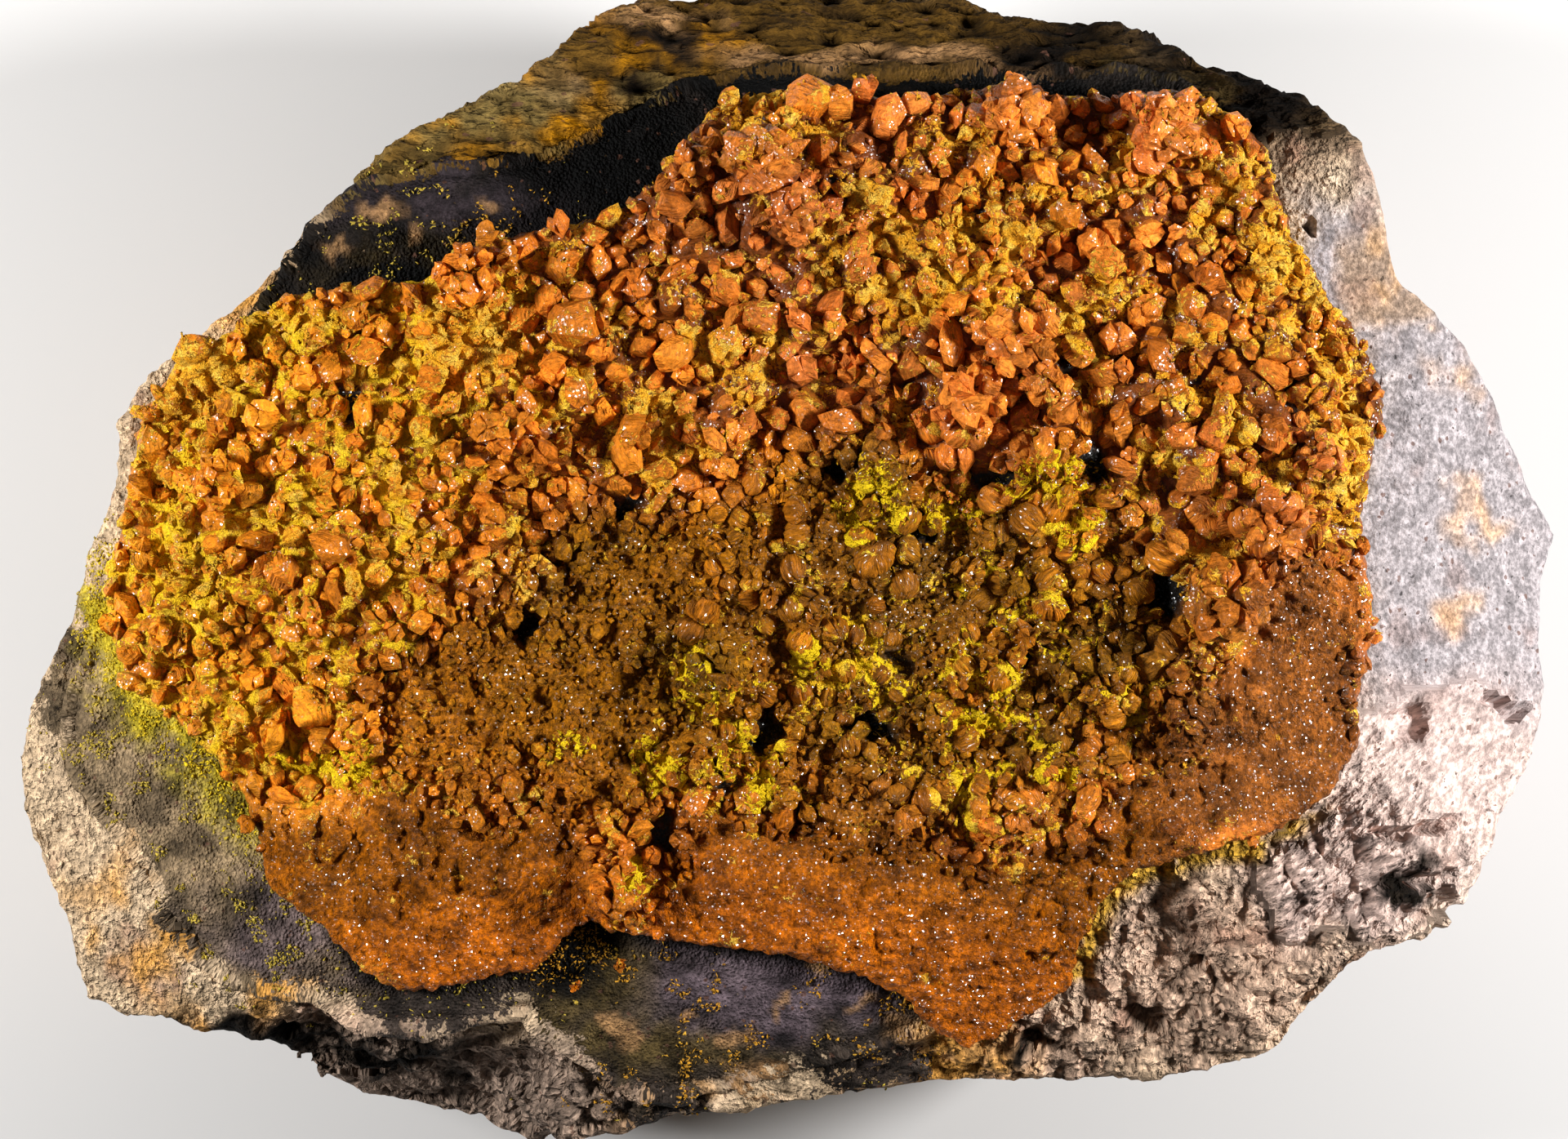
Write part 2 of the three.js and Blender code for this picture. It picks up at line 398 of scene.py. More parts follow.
def powder_cover(tree, place, coverage):
    """Where yellow powder lies. It runs on from crystal to crystal in patches with flaky edges."""
    patches = texture_noise(tree, place, 0.5, detail=1)
    flaky = texture_noise(tree, place, 2.3, detail=4, roughness=0.66, distortion=0.8)
    spread = maths(tree, "MULTIPLY_ADD", patches, 1.5, maths(tree, "MULTIPLY_ADD", flaky, 2, -1.75))
    return ramp(tree, maths(tree, "ADD", coverage, spread), 0.46, 0.58)


def powder_colour(tree, place, lemon):
    patchy = texture_noise(tree, place, 1.1)
    gold = blend_colours(tree, ramp(tree, patchy, 0.42, 0.62), colour(GOLD), colour(PALE_GOLD))
    return blend_colours(tree, lemon, gold, colour(LEMON))


def glints(tree, place, sparkle):
    """How strongly each tiny face mirrors the light, and which way it faces."""
    faces = node(tree, "TexVoronoi", {"Vector": place, "Scale": 9}).outputs["Color"]
    turned_by = maths(tree, "MULTIPLY", sparkle, 2.2)
    tilt = scaled(tree, vectors(tree, "SUBTRACT", faces, (0.5, 0.5, 0.5)), turned_by)
    flat = node(tree, "NewGeometry").outputs["Normal"]
    strength = maths(tree, "MULTIPLY", ramp(tree, parts(tree, faces)[0], 0.78, 0.86), sparkle)
    return strength, vectors(tree, "NORMALIZE", vectors(tree, "ADD", flat, tilt))


def crystal_material():
    """Orange crystal with fine lamellae, powdered yellow in places. The attribute `coat` says how much
    powder there is, how lemon it is, and how much the crystal sparkles."""
    material, tree = empty_material("francevillite_crystal")
    tint, place = attribute(tree, "tint"), attribute(tree, "local")
    spot = scaled(tree, node(tree, "TexCoord").outputs["Object"], 1 / MM)
    coverage, lemon, sparkle = parts(tree, attribute(tree, "coat"))
    cover = powder_cover(tree, spot, coverage)
    bare = ramp(tree, cover, 0, 1, 1, 0)
    felt = texture_noise(tree, spot, 5.5, detail=2, distortion=1.2)
    lamellae = texture_noise(tree, vectors(tree, "MULTIPLY", place, (0.6, 0.6, 4)), 1.3)
    mottle = texture_noise(tree, place, 2.4, detail=4, roughness=0.7)
    grainy = maths(tree, "MULTIPLY", maths(tree, "SUBTRACT", mottle, 0.5), sparkle)
    shades = ramp(tree, mottle, 0.32, 0.68, 0.72, 1.22), ramp(tree, lamellae, 0.3, 0.65, 0.75, 1.15)
    body = shaded(tree, tint, *shades, ramp(tree, grainy, -0.14, 0.14, 0.72, 1.32))
    powdered = shaded(tree, powder_colour(tree, spot, lemon), ramp(tree, felt, 0.3, 0.7, 0.74, 1.15))
    soft = maths(tree, "MULTIPLY", cover, maths(tree, "MULTIPLY_ADD", felt, 1.3, 0.4))
    rise = maths(tree, "MULTIPLY", maths(tree, "MULTIPLY_ADD", grainy, 2.2, lamellae), bare)
    rise = maths(tree, "ADD", rise, soft)
    glint, facing = glints(tree, place, sparkle)
    sheen = maths(tree, "MULTIPLY_ADD", sparkle, -0.5, 0.65)
    finish_material(tree, {
        "Base Color": blend_colours(tree, cover, body, powdered),
        "Roughness": ramp(tree, cover, 0, 1, 0.5, 0.95),
        "IOR": MINERAL_IOR,
        "Specular IOR Level": 0.08,
        "Normal": bumped(tree, rise, 0.0004, 0.9),
        "Coat Weight": maths(tree, "MULTIPLY", bare, maths(tree, "ADD", glint, sheen)),
        "Coat Roughness": 0.2,
        "Coat Normal": facing,
    })
    return material


def speckled(tree, body, place, grains):
    """Rock with brown specks, and with each grain a little lighter or darker than the next."""
    spots = node(tree, "TexVoronoi", {"Vector": place, "Scale": 1.6})
    chance = parts(tree, spots.outputs["Color"])[0]
    near = maths(tree, "MULTIPLY_ADD", grains, 0.7, spots.outputs["Distance"])
    speck = maths(tree, "LESS_THAN", near, ramp(tree, chance, 0.55, 1, 0.3, 0.62))
    body = blend_colours(tree, maths(tree, "MULTIPLY", speck, 0.7), body, colour(SPECK_BROWN))
    uneven = maths(tree, "MULTIPLY_ADD", grains, 0.8, chance)
    return shaded(tree, body, ramp(tree, uneven, 0.4, 1.4, 0.8, 1.2))


def ground_material(name, roughness, grain, crumb_scale):
    """Broken rock: grains, pits, crumbs and brown specks, with painted shade between the crumbs. The
    attribute `coat` says how stained, how crumbly and how rugged it is. `grain` is the height of the bump
    in metres, and `crumb_scale` the number of crumbs to the millimetre."""
    material, tree = empty_material(name)
    place = attribute(tree, "local")
    stained, crumbly, rugged = parts(tree, attribute(tree, "coat"))
    grains = texture_noise(tree, place, 3, roughness=0.62)
    patchy = texture_noise(tree, place, 0.75, detail=4, roughness=0.66)
    ragged = maths(tree, "MULTIPLY_ADD", grains, 1.2, maths(tree, "MULTIPLY_ADD", patchy, 1.6, -1.4))
    share = ramp(tree, maths(tree, "ADD", stained, ragged), 0.42, 0.58)
    tint = blend_colours(tree, share, attribute(tree, "tint"), attribute(tree, "stain"))
    shades = ramp(tree, grains, 0.32, 0.68, 0.74, 1.22), ramp(tree, patchy, 0.3, 0.7, 0.78, 1.18)
    body = speckled(tree, shaded(tree, tint, *shades), place, grains)
    pits = ramp(tree, texture_noise(tree, place, 1.9, detail=2), 0.66, 0.72)
    crumbs = node(tree, "TexVoronoi", {"Vector": place, "Scale": crumb_scale}).outputs["Distance"]
    crumbs = maths(tree, "MULTIPLY", ramp(tree, crumbs, 0.15, 0.75), crumbly)
    # Painted shade: the crumbs darken towards their edges, where they sink into the gaps between them.
    shades = ramp(tree, pits, 0, 1, 1, 0.4), ramp(tree, crumbs, 0.2, 1, 1.05, 0.5)
    body = shaded(tree, body, *shades)
    rise = maths(tree, "MULTIPLY_ADD", patchy, 0.9, grains)
    rise = maths(tree, "MULTIPLY_ADD", pits, -0.4, rise)
    rise = maths(tree, "MULTIPLY_ADD", crumbs, -0.8, rise)
    finish_material(tree, {
        "Base Color": body,
        "Roughness": roughness,
        "Normal": bumped(tree, rise, grain, rugged),
        "IOR": MINERAL_IOR,
        "Specular IOR Level": 0.1,
    })
    return material


def dust_material():
    """Yellow dust, from lemon to ochre as the grain's own colour says."""
    material, tree = empty_material("yellow_dust")
    mottle = texture_noise(tree, attribute(tree, "local"), 4)
    body = shaded(tree, attribute(tree, "tint"), ramp(tree, mottle, 0.3, 0.7, 0.7, 1.2))
    finish_material(tree, {"Base Color": body, "Roughness": 0.9, "Specular IOR Level": 0.15})
    return material


# ---- sandstone and seam

white_flank = zone([(45, 2, 11, 22), (38, 17, 6, 8)], seed=3)
flank_top = zone([(32, 27, 3.5, 3), (38.5, 19, 2, 5)], ragged=2, seed=16)
pebbly = zone([
    (26, -26, 11, 7), (35, -20, 7, 5), (15, -32, 7, 3), (-22, -35, 14, 4), (-30, -31, 5, 2),
], seed=4)
broken_corner = zone([(42, -15, 9, 7), (38, -21, 7, 4)], seed=5)
back_ridge = zone([(2, 34, 30, 6), (-22, 27, 14, 6), (30, 31, 9, 4)], seed=6)
lower_lobe = zone([(-22, -35, 14, 4.5)], seed=7)
golden_rock = zone([
    (-39.5, -23, 6, 4.5), (-40, -17, 2, 4), (-36, -27, 6, 2.5), (-43.5, -26, 2, 2),
    (39, 19, 1.3, 3), (44.5, 13, 1.4, 2), (44, -3, 2, 1.5), (46, 3.2, 1.8, 1),
    (11, -31.5, 5, 3), (-9, -36, 6, 1.8), (-36, 17.5, 4, 3),
], ragged=2, edge=0.7, seed=8)
ochre_stains = zone([
    (-12, 33, 3.4, 5), (-18, 30.2, 4, 0.8), (-16, 27, 9, 0.9), (-24, 25.4, 5, 0.8), (-4, 34, 3, 2),
], ragged=2, edge=0.6, seed=8)
pink_crests = zone([
    (7, 32.5, 6, 1), (0, 33.4, 5, 0.7), (16, 31.6, 3, 0.8), (-8, 36, 4, 0.8),
], edge=0.7, seed=9)
# Parts of the back ridge painted dark as painted shade.
ridge_in_shade = zone([
    (22, 33, 9, 4), (30, 30.5, 7, 4), (-9, 34.5, 3, 1.5), (-6, 31.5, 5, 1.2), (4, 35.5, 8, 1),
], ragged=2, seed=14)
grey_ridge = zone([
    (-20, 28.4, 7, 2), (-10.5, 28.6, 4, 1.6), (-27, 25.6, 3, 1.5), (24, 30, 5, 1),
], ragged=2, edge=0.6, seed=98)
notches = zone([
    (40.5, -20.7, 2.2, 0.8), (23.4, -30, 1.5, 0.8), (27, -25.3, 0.7, 0.5), (42.6, -22.2, 1, 0.8),
    (41.2, -17.4, 2.6, 0.35), (40.6, -10.4, 1.7, 1.4), (34.2, 22.2, 0.2, 0.5), (16.2, -31.6, 1, 0.7),
    (47.3, -9, 1.4, 0.5),
], ragged=0.8, scale=2, edge=0.4, seed=27)
# Painted shade in the notches and in the undercut below the ledge.
hollow_shade = zone([
    (40.5, -20.7, 2, 0.6), (23.4, -30, 1.1, 0.5), (27, -25.3, 0.5, 0.3), (42.6, -22.2, 0.8, 0.6),
    (-36, -31.5, 9, 1.8), (-26, -32, 6, 1.4), (15.5, -32, 1.6, 0.9),
], ragged=1.4, scale=2, seed=17)
stained_rock = zone([(-8, -31, 9, 5), (4, -33, 6, 3)], ragged=2, seed=20)
seam_spread = zone([(-44, -7.5, 4.5, 6)], ragged=2, scale=2, seed=99)
# Black on the seam: partly its own black oxide, and partly painted shadow cast by the crust's top edge on
# the seam behind it.
black_seam_and_shadow = zone([
    (-10, 26, 6, 4.5), (-3, 31.2, 6, 1.2), (12, 31.6, 12, 1), (-24, 18.2, 7, 1), (-13, -24.5, 3, 2.5),
], ragged=1.6, seed=11)
olive_seam = zone([
    (-25, 19.6, 8, 1.2), (-13, -26, 3, 4), (-9, -32, 8, 2), (-35, 16.5, 3, 1.5),
], ragged=2, edge=0.7, seed=10)
dusty_seam = zone([(-42, -8, 7, 9), (-37, -17, 6, 6), (-33, -23, 6, 5)], ragged=2, seed=22)
purple_seam = zone([(-22, 23.5, 8, 2.6), (-33, -23.5, 5, 3.4), (0, -27, 8, 4)], ragged=2, seed=21)
beige_spots = zone([
    (-26, 22.9, 1.1, 0.6), (-18.8, 23.3, 0.6, 0.6), (-29, 20.6, 0.9, 0.7), (-24.2, 21.4, 0.4, 0.4),
    (-3.2, -30.7, 0.7, 0.6), (2.5, -26.4, 0.6, 0.5), (-6.4, -29.6, 0.4, 0.3), (5, -28.6, 0.8, 0.4),
    (-2, -33.7, 2.2, 0.9), (8.4, -30.6, 1.6, 0.8), (-10.6, -30.3, 0.9, 0.9), (-0.5, -28.8, 0.4, 0.4),
], ragged=0.8, scale=1.4, edge=0.5, seed=9)

WHITE_ROCK = rgb(148, 140, 141)
CREAM_ROCK = rgb(204, 176, 142)
CORNER_ROCK = rgb(202, 176, 166)
FLANK_BROWN = rgb(150, 124, 100)
VEIN_BROWN = rgb(134, 94, 76)
PEBBLE_ROCK = rgb(198, 164, 142)
RIDGE_ROCK = rgb(96, 68, 22)
RIDGE_GREY = rgb(124, 104, 58)
RIDGE_SHADE = rgb(30, 19, 8)
LOBE_ROCK = rgb(150, 128, 112)
OCHRE = rgb(166, 110, 4)
GOLDEN_OCHRE = rgb(212, 152, 72)
YELLOW_EDGE = rgb(204, 156, 54)
PINK_ROCK = rgb(170, 128, 84)
PAINTED_HOLLOW_SHADE = rgb(26, 20, 14)
SEAM_GREY = rgb(57, 48, 42)
SEAM_BLACK_AND_SHADOW = rgb(10, 8, 6)
SEAM_OLIVE = rgb(72, 58, 26)
SEAM_DUSTY = rgb(120, 101, 76)
SEAM_PURPLE = rgb(90, 77, 84)
SULPHUR = rgb(158, 140, 34)

ROCK_VOXEL, ROCK_TRIANGLES, ROCK_SHARP = 0.38, 190000, 27
SEAM_VOXEL, SEAM_TRIANGLES, SEAM_SHARP = 0.35, 90000, 36
ROCK_LOOK = {"roughness": 0.95, "grain": 0.0006, "crumb_scale": 2.0}
SEAM_LOOK = {"roughness": 0.75, "grain": 0.0005, "crumb_scale": 4.5}
ROCK_FLOOR, SEAM_FLOOR = 0.2, 21  # heights that their undersides lie below, in mm
RESTING = 0.05  # the rock's lowest points, which lie on the ground and stay there, are below this
LEAST_RISE = 0.02  # the lowest that the rock's relief may reach
SPLINTER_X, SPLINTER_Y = 0.83, 0.55  # the way the broken corner splinters, as a unit vector


def along_the_grain(points):
    """Places squeezed along the way the rock splits, so that noise on them runs in streaks."""
    x, y, z = points.T
    xy = points[:, :2]
    ridge = np.where(back_ridge(xy) > 0.5, 0.4, 1.0)
    along, across = SPLINTER_X * x + SPLINTER_Y * y, SPLINTER_X * y - SPLINTER_Y * x
    splinters = np.stack([0.5 * along, across, z], axis=1)
    squeezed = np.stack([x * ridge, y, z], axis=1)
    return mix(squeezed, splinters, broken_corner(xy, edge=0.3) > 0.5)


def ridge_grooves(points):
    """1 in the long grooves of the back ridge."""
    groove = np.abs(fractal(along_the_grain(points), 1.2, 3, 24))
    return smooth(groove, 0.3, 0.8) * back_ridge(points[:, :2])


def rock_colours(points):
    """The rock's colour, with painted shade on the back ridge and in its hollows. Low on its sides the
    zones wander, and end in ragged edges.
    """
    aside = np.stack([fractal(points, 7, 3, 33), fractal(points, 7, 3, 43)], axis=1)
    xy = points[:, :2] + 6 * aside * (1 - smooth(points[:, 2], 8, 18))[:, None]
    x, y = xy.T
    streaky = fractal(along_the_grain(points), 2.2, 4, 15)
    off_flank = 1 - 0.6 * white_flank(xy)
    blotches = smooth(fractal(xy, 2.4, 4, 18), -0.5, 0.6)
    tint = layered(CREAM_ROCK, xy, [
        (WHITE_ROCK, 1, white_flank),
        (PEBBLE_ROCK, 0.8, pebbly),
        (CORNER_ROCK, 0.8, broken_corner),
        (FLANK_BROWN, 0.8, flank_top),
    ])
    tint = mix(tint, VEIN_BROWN, 0.6 * smooth(streaky, 0.25, 0.9) * off_flank)
    tint = layered(tint, xy, [
        (GOLDEN_OCHRE, blotches * off_flank, golden_rock),
        (RIDGE_ROCK, 1, back_ridge),
        (RIDGE_GREY, 0.8, grey_ridge),
        (OCHRE, blotches, ochre_stains),
        # Painted shade in the ridge's low streaks.
        (RIDGE_SHADE, smooth(streaky, -0.6, 0.2), ridge_in_shade),
        (PINK_ROCK, smooth(streaky, -0.1, 0.3), pink_crests),
    ])
    # Painted shade: the back ridge is darker towards the right and in its grooves.
    to_right = smooth(x, -12, -5)
    darker = 0.22 * to_right + 0.45 * smooth(x, 8, 20)
    tint = tint * (1 - (0.45 + 0.2 * to_right) * ridge_grooves(points))[:, None]
    tint = tint * (1 - darker * back_ridge(xy))[:, None]
    # Painted shade in the hollows and under the ledges.
    tint = layered(tint, xy, [(LOBE_ROCK, 1, lower_lobe), (PAINTED_HOLLOW_SHADE, 1, hollow_shade)])
    strip = smooth(x, 16.5, 18.5) * smooth(-y, 15, 17)
    strip *= 1 - smooth(distance_to(crust_edge, points) + 0.8 * fractal(xy, 2, 3, 38), 0.9, 2.2)
    return mix(tint, YELLOW_EDGE, strip * smooth(blotches, 0.1, 0.5))


def sulphur_side(xy):
    """1 where yellow dust has gathered beside the crust's left edge."""
    x, y = xy.T
    return smooth(-x, 24, 30) * smooth(-y, -4, 2) * (1 - smooth(-y, 15, 20))


def seam_colours(points):
    """The seam's colour, with painted shadow under and behind the crust's edges, and the stain's where the
    seam has run into the rock.
    """
    xy = points[:, :2]
    x, y = xy.T
    to_crust = distance_to(crust_edge, points)
    tint = layered(SEAM_GREY, xy, [
        (SEAM_DUSTY, 1, dusty_seam),
        (SEAM_PURPLE, 0.7, purple_seam),
        (SEAM_OLIVE, 0.8, olive_seam),
        # Partly the seam's own black and partly painted shadow of the crust's top edge.
        (SEAM_BLACK_AND_SHADOW, 1, black_seam_and_shadow),
    ])
    beside = sulphur_side(xy) * (1 - smooth(to_crust + 1.5 * fractal(xy, 1.5, 4, 92), 0.6, 4))
    # Painted shadow: black on the seam just below the crust's lower edge.
    shadow_under_edge = (1 - smooth(to_crust, 0.3, 1.2)) * smooth(-y, 14, 17) * smooth(x, -32, -28)
    tint = mix(mix(tint, SULPHUR, beside), SEAM_BLACK_AND_SHADOW, shadow_under_edge)
    cloudy = 1 + 0.6 * fractal(xy, 1.8, 5, 97)
    # The seam darkens upwards: partly its own black, and partly painted shade on the band behind the
    # crust's top edge.
    tint = tint * (cloudy * (1 - 0.78 * smooth(y, 5, 15)))[:, None]
    return mix(tint, PINK_ROCK, 0.7 * beige_spots(xy))


def ground_attributes(points, from_seam):
    """What the ground's material reads. `from_seam` is how far each point lies inside the seam's edge
    in mm, and less than 0 outside it."""
    xy = points[:, :2]
    reach = np.where(xy[:, 1] > 10, 0.6, 1.5)
    stained = smooth(from_seam + reach * fractal(points, 3.5, 4, 12), -reach, reach)
    patches = smooth(fractal(xy, 3, 4, 19), -0.5, 0.5) * stained_rock(xy)
    patches *= smooth(points[:, 2] + 2 * fractal(points, 3, 3, 101), 13, 19)
    stained = np.max([stained, 0.75 * patches, seam_spread(xy)], axis=0)
    crumbly = 0.45 + 0.55 * pebbly(xy) * smooth(fractal(xy, 4, 3, 39), -0.7, 0.2)
    crumbly = np.where(from_seam > 0, 0.5, crumbly)
    rugged = np.where(from_seam > 0, 0.7, 1 - 0.6 * white_flank(xy))
    return {
        "tint": rock_colours(points),
        "stain": seam_colours(points),
        "coat": np.stack([stained, crumbly, rugged], axis=1),
        "local": np.where(from_seam[:, None] > 0, points, along_the_grain(points)),
    }


def terraces(points, size, step, seed):
    """Flat steps `step` mm high, as layered rock breaks in."""
    level = 2.5 * fractal(points, size, 3, seed)
    whole = np.floor(level)
    return step * (whole + smooth(level - whole, 0.35, 0.65))


def rock_relief(points, normals):
    """How far the broken rock stands out at each point, in mm."""
    xy, z = points[:, :2], points[:, 2]
    streaked = along_the_grain(points)
    flank, ridge = white_flank(xy), back_ridge(xy)
    calm = 1 - 0.6 * np.maximum(flank, ridge) * smooth(z, 10, 20)
    relief = (0.5 * fractal(points, 7, 3, 21) + terraces(points, 6, 0.26, 22)) * calm
    relief += 0.3 * (0.45 - cells(points, 1.5, 29)) * calm
    crumbs = 0.9 * domes(points, 1.3, 23) + 0.5 * domes(points, 0.8, 30) - 0.75
    on_top = smooth(normals[:, 2], 0, 0.6)
    relief += on_top * pebbly(xy) * (crumbs + 0.5 * fractal(points, 3, 3, 36))
    relief += ridge * (0.35 - np.abs(fractal(streaked, 1.2, 3, 24)))
    upright = fractal(points * (0.16, 0.16, 1), 2.4, 3, 25)
    relief += (1 - smooth(z, 18, 26)) * 0.6 * (0.4 - np.abs(upright))
    splintered = terraces(streaked, 4, 0.16, 31) + 0.35 * fractal(streaked, 2, 3, 26)
    relief += broken_corner(xy, edge=0.6) * splintered
    relief -= 1.4 * notches(xy)
    fine = 0.16 * (0.45 - cells(points, 0.85, 27)) + 0.09 * fractal(points, 0.6, 1, 35)
    return relief + fine * (1 - 0.6 * flank)


def ground_piece(name, mesh, moved, from_seam, sharp, look, cad_node):
    """Moves a fine mesh's points to where its relief puts them, and gives it its looks."""
    attributes = ground_attributes(points_of(mesh), from_seam)
    set_points(mesh, moved)
    mesh.set_sharp_from_angle(angle=math.radians(sharp))
    set_attributes(mesh, attributes)
    new_piece(name, mesh, ground_material(name + "_surface", **look), [cad_node])


def under_seam_or_crust(points):
    return is_below(crust_over, points) | is_below(seam_over, points)


def sandstone():
    """The broken rock. It keeps its shape where it is covered and where it rests on the ground."""

    def hidden(points):
        return under_seam_or_crust(points) | (points[:, 2] < ROCK_FLOOR)

    mesh = fine_mesh("sandstone_matrix", ROCK_VOXEL, hidden, ROCK_TRIANGLES)
    points, normals = points_of(mesh), normals_of(mesh)
    covered = under_seam_or_crust(points)
    relief = rock_relief(points, normals) * smooth(points[:, 2], 0, 2.5) * np.where(covered, 0, 1)
    moved = points + normals * relief[:, None]
    resting = points[:, 2] < RESTING
    moved[:, 2] = np.where(resting, points[:, 2], np.maximum(moved[:, 2], LEAST_RISE))
    from_seam = np.where(covered, 0.5, -distance_to(seam_edge, points))
    ground_piece(
        "sandstone", mesh, moved, from_seam, ROCK_SHARP, ROCK_LOOK, "sandstone_matrix"
    )
    return mesh


def seam():
    """The dark seam. It keeps its shape under the crust, and its walls stand out over the rock."""

    def hidden(points):
        return is_below(crust_over, points) | (points[:, 2] < SEAM_FLOOR)

    mesh = fine_mesh("dark_seam", SEAM_VOXEL, hidden, SEAM_TRIANGLES)
    points, normals = points_of(mesh), normals_of(mesh)
    wall = 1 - np.abs(normals[:, 2])
    from_seam = distance_to(seam_edge, points)
    relief = 0.35 * fractal(points, 3.5, 5, 31) + 0.3 * (0.45 - cells(points, 1.3, 36))
    relief += 0.18 * (0.45 - cells(points, 0.7, 32)) - 0.35 * (1 - smooth(from_seam, 0, 1.5))
    edge = 0.7 + 0.4 * fractal(points, 1.8, 3, 37)
    relief = np.where(is_below(crust_over, points), 0, relief - 0.05) * (1 - wall) + edge * wall
    moved = points + normals * relief[:, None]
    ground_piece("seam", mesh, moved, from_seam, SEAM_SHARP, SEAM_LOOK, "dark_seam")
    return mesh


# ---- crystal crust: where things are

druse = zone([
    (-24, -22, 13.5, 6.5), (-20, -26, 9, 4), (3, -23, 13, 6.5), (15, -26, 9, 8.5), (20, -21, 7, 4.5),
    (34, -6, 4.5, 6.5), (30.5, -12.5, 8.5, 5.5), (25, -16, 6, 3),
], ragged=1.6, scale=5, edge=0.25, seed=51)
mounds = zone([
    (-23, -17.5, 12, 4), (-28, -14, 5, 4), (-12, -16, 5, 4), (15, -17.5, 12, 3.2), (24, -13.5, 6, 4),
    (28, -8.5, 4, 4), (33, -3, 4, 3), (19, -23, 5, 4),
], ragged=2.2, scale=4, edge=0.4, seed=50)
fine_druse = zone([(-16, -9.5, 10, 6), (-9, 0, 6, 4)], ragged=2, scale=4, edge=0.3, seed=53)
basin = zone([(4, -5, 24, 12)], ragged=2.5, scale=6, edge=0.3, seed=52)
ball_ground = zone([
    (12, -2, 17, 9), (18, -12, 12, 5), (-3, -9, 4, 6), (24, 4, 8, 6),
], ragged=3, scale=4, edge=0.3, seed=83)
# Hollows sunk into the bed; their black colour is painted shadow.
voids = zone([
    (2.9, 24.1, 0.6, 1.1), (12.6, 23.2, 0.7, 0.5), (17.7, 12.3, 0.6, 0.7), (26.4, 12.1, 0.7, 0.6),
    (32.4, 11, 0.5, 0.7), (3.1, 5.4, 0.9, 0.9), (13.1, 5.9, 1.7, 0.9), (8.9, 2.7, 0.9, 0.8),
    (5.7, -10.4, 1.8, 0.9), (-1.1, -10.4, 1, 1.1), (-7.4, -17.2, 0.9, 1.5), (-16.9, -4.1, 0.7, 1),
    (24.7, -2, 1.4, 1.5), (7.3, -6.2, 1.3, 0.6), (-10, 4.3, 0.9, 1.3), (-27.9, 10.6, 0.8, 1.4),
    (-3.5, -13.6, 0.8, 0.7), (20, 6.4, 0.9, 1.2), (31.5, 1.4, 0.9, 0.6), (15.3, -5.5, 0.8, 1),
], ragged=0.8, scale=1.6, edge=0.3, seed=54)
lemon_pockets = zone([
    (6, 4.3, 2.2, 2.4), (10.7, 3.4, 2, 1.4), (17, 5.4, 3.2, 1.3), (18.9, 2.6, 1.6, 1.3), (-5.6, -8, 1.3, 3),
    (-2.4, -13.3, 1.8, 2.4), (-8.2, -12.8, 1.4, 1.8), (-13.7, -11.8, 1.2, 0.8), (1, -6.2, 1.3, 0.8),
    (18.1, -14, 1.1, 1.9), (-29.8, -12.3, 3.6, 1.3), (12, -10, 2.4, 1.4), (-9.3, -20.2, 0.9, 1.5),
], ragged=1, scale=1.6, edge=0.4, seed=55)
pale_patches = zone([
    (-13.7, 18.4, 2.8, 2.2), (11, 18, 4.4, 3), (20, 16.4, 3, 3), (-24, 10.5, 3.4, 3), (-33, 14, 4, 2.4),
    (-38.5, 5, 2.4, 7), (-8, 8, 4, 2.4), (7, 22, 2, 2),
], ragged=2, scale=2.5, edge=0.5, seed=56)
golden_lumps = zone([
    (-0.8, 29, 3.4, 2.4), (10.2, 28, 2, 2), (25.7, 28, 4, 3), (33.5, 21, 2.6, 6), (35.5, 9, 2.4, 8),
    (-16, -1, 3, 2), (-38, 12, 3, 2.6), (27, 0, 3, 3), (-20, 14, 3, 3), (4, 21, 3, 3), (-2.6, 13, 3, 3),
    (15.4, 22.2, 2.4, 2), (20.5, 24, 2.4, 1.8), (28.3, 22, 2.6, 3),
], ragged=1.6, scale=2.5, edge=0.5, seed=57)
yellow_web = zone([
    (-33, -2, 11, 12), (-26, 9, 12, 8), (14, -8, 10, 8), (-4, -10, 8, 7),
], ragged=3, scale=6, edge=0.4, seed=58)
# Places where the crystals are painted darker, as painted shade among deep clusters.
painted_cluster_shade = zone([
    (-4, 24, 10, 7), (30, 2, 9, 10), (24, 12, 8, 4), (-24, -6, 8, 4),
], ragged=3, scale=6, edge=0.7, seed=100)

ROSETTES = [  # (x, y, radius) in mm
    (-36.3, 5.4, 1.9), (-27.4, -11.1, 1.7), (-20.3, 18.6, 2.2), (-17.6, 8.6, 1.8), (-5.8, 25.6, 1.8),
    (-1.2, 26, 2.8), (0.8, 22.6, 2.1), (-4.3, -6.9, 2.2), (-4.6, -12.8, 1.9), (-10.8, -20.8, 2.1),
    (14.9, 14.4, 2.6), (16.6, 12, 1.9), (11.9, 10.5, 2.5), (15.2, 29, 2.4), (24.6, 27.9, 2.6),
    (6.8, 5.6, 1.6), (17.2, 7, 1.9), (9.7, -9.6, 1.7), (28.4, -2.2, 3), (31.6, 2.4, 2.4),
    (26.3, -9.9, 1.8), (34.6, 6.8, 1.8),
]

ORANGE = rgb(222, 126, 28)
RED_BROWN = rgb(222, 122, 52)
GOLDEN_ORANGE = rgb(236, 146, 24)
BASIN_BROWN_AND_SHADE = rgb(166, 102, 8)
BASIN_OLIVE_AND_SHADE = rgb(112, 78, 4)
TERRACOTTA = rgb(178, 106, 70)
DRUSE_BROWN = rgb(132, 73, 3)
DRUSE_ORANGE = rgb(172, 88, 2)
VOID_SHADOW = rgb(10, 8, 5)
GAP_SHADE = rgb(66, 24, 6)

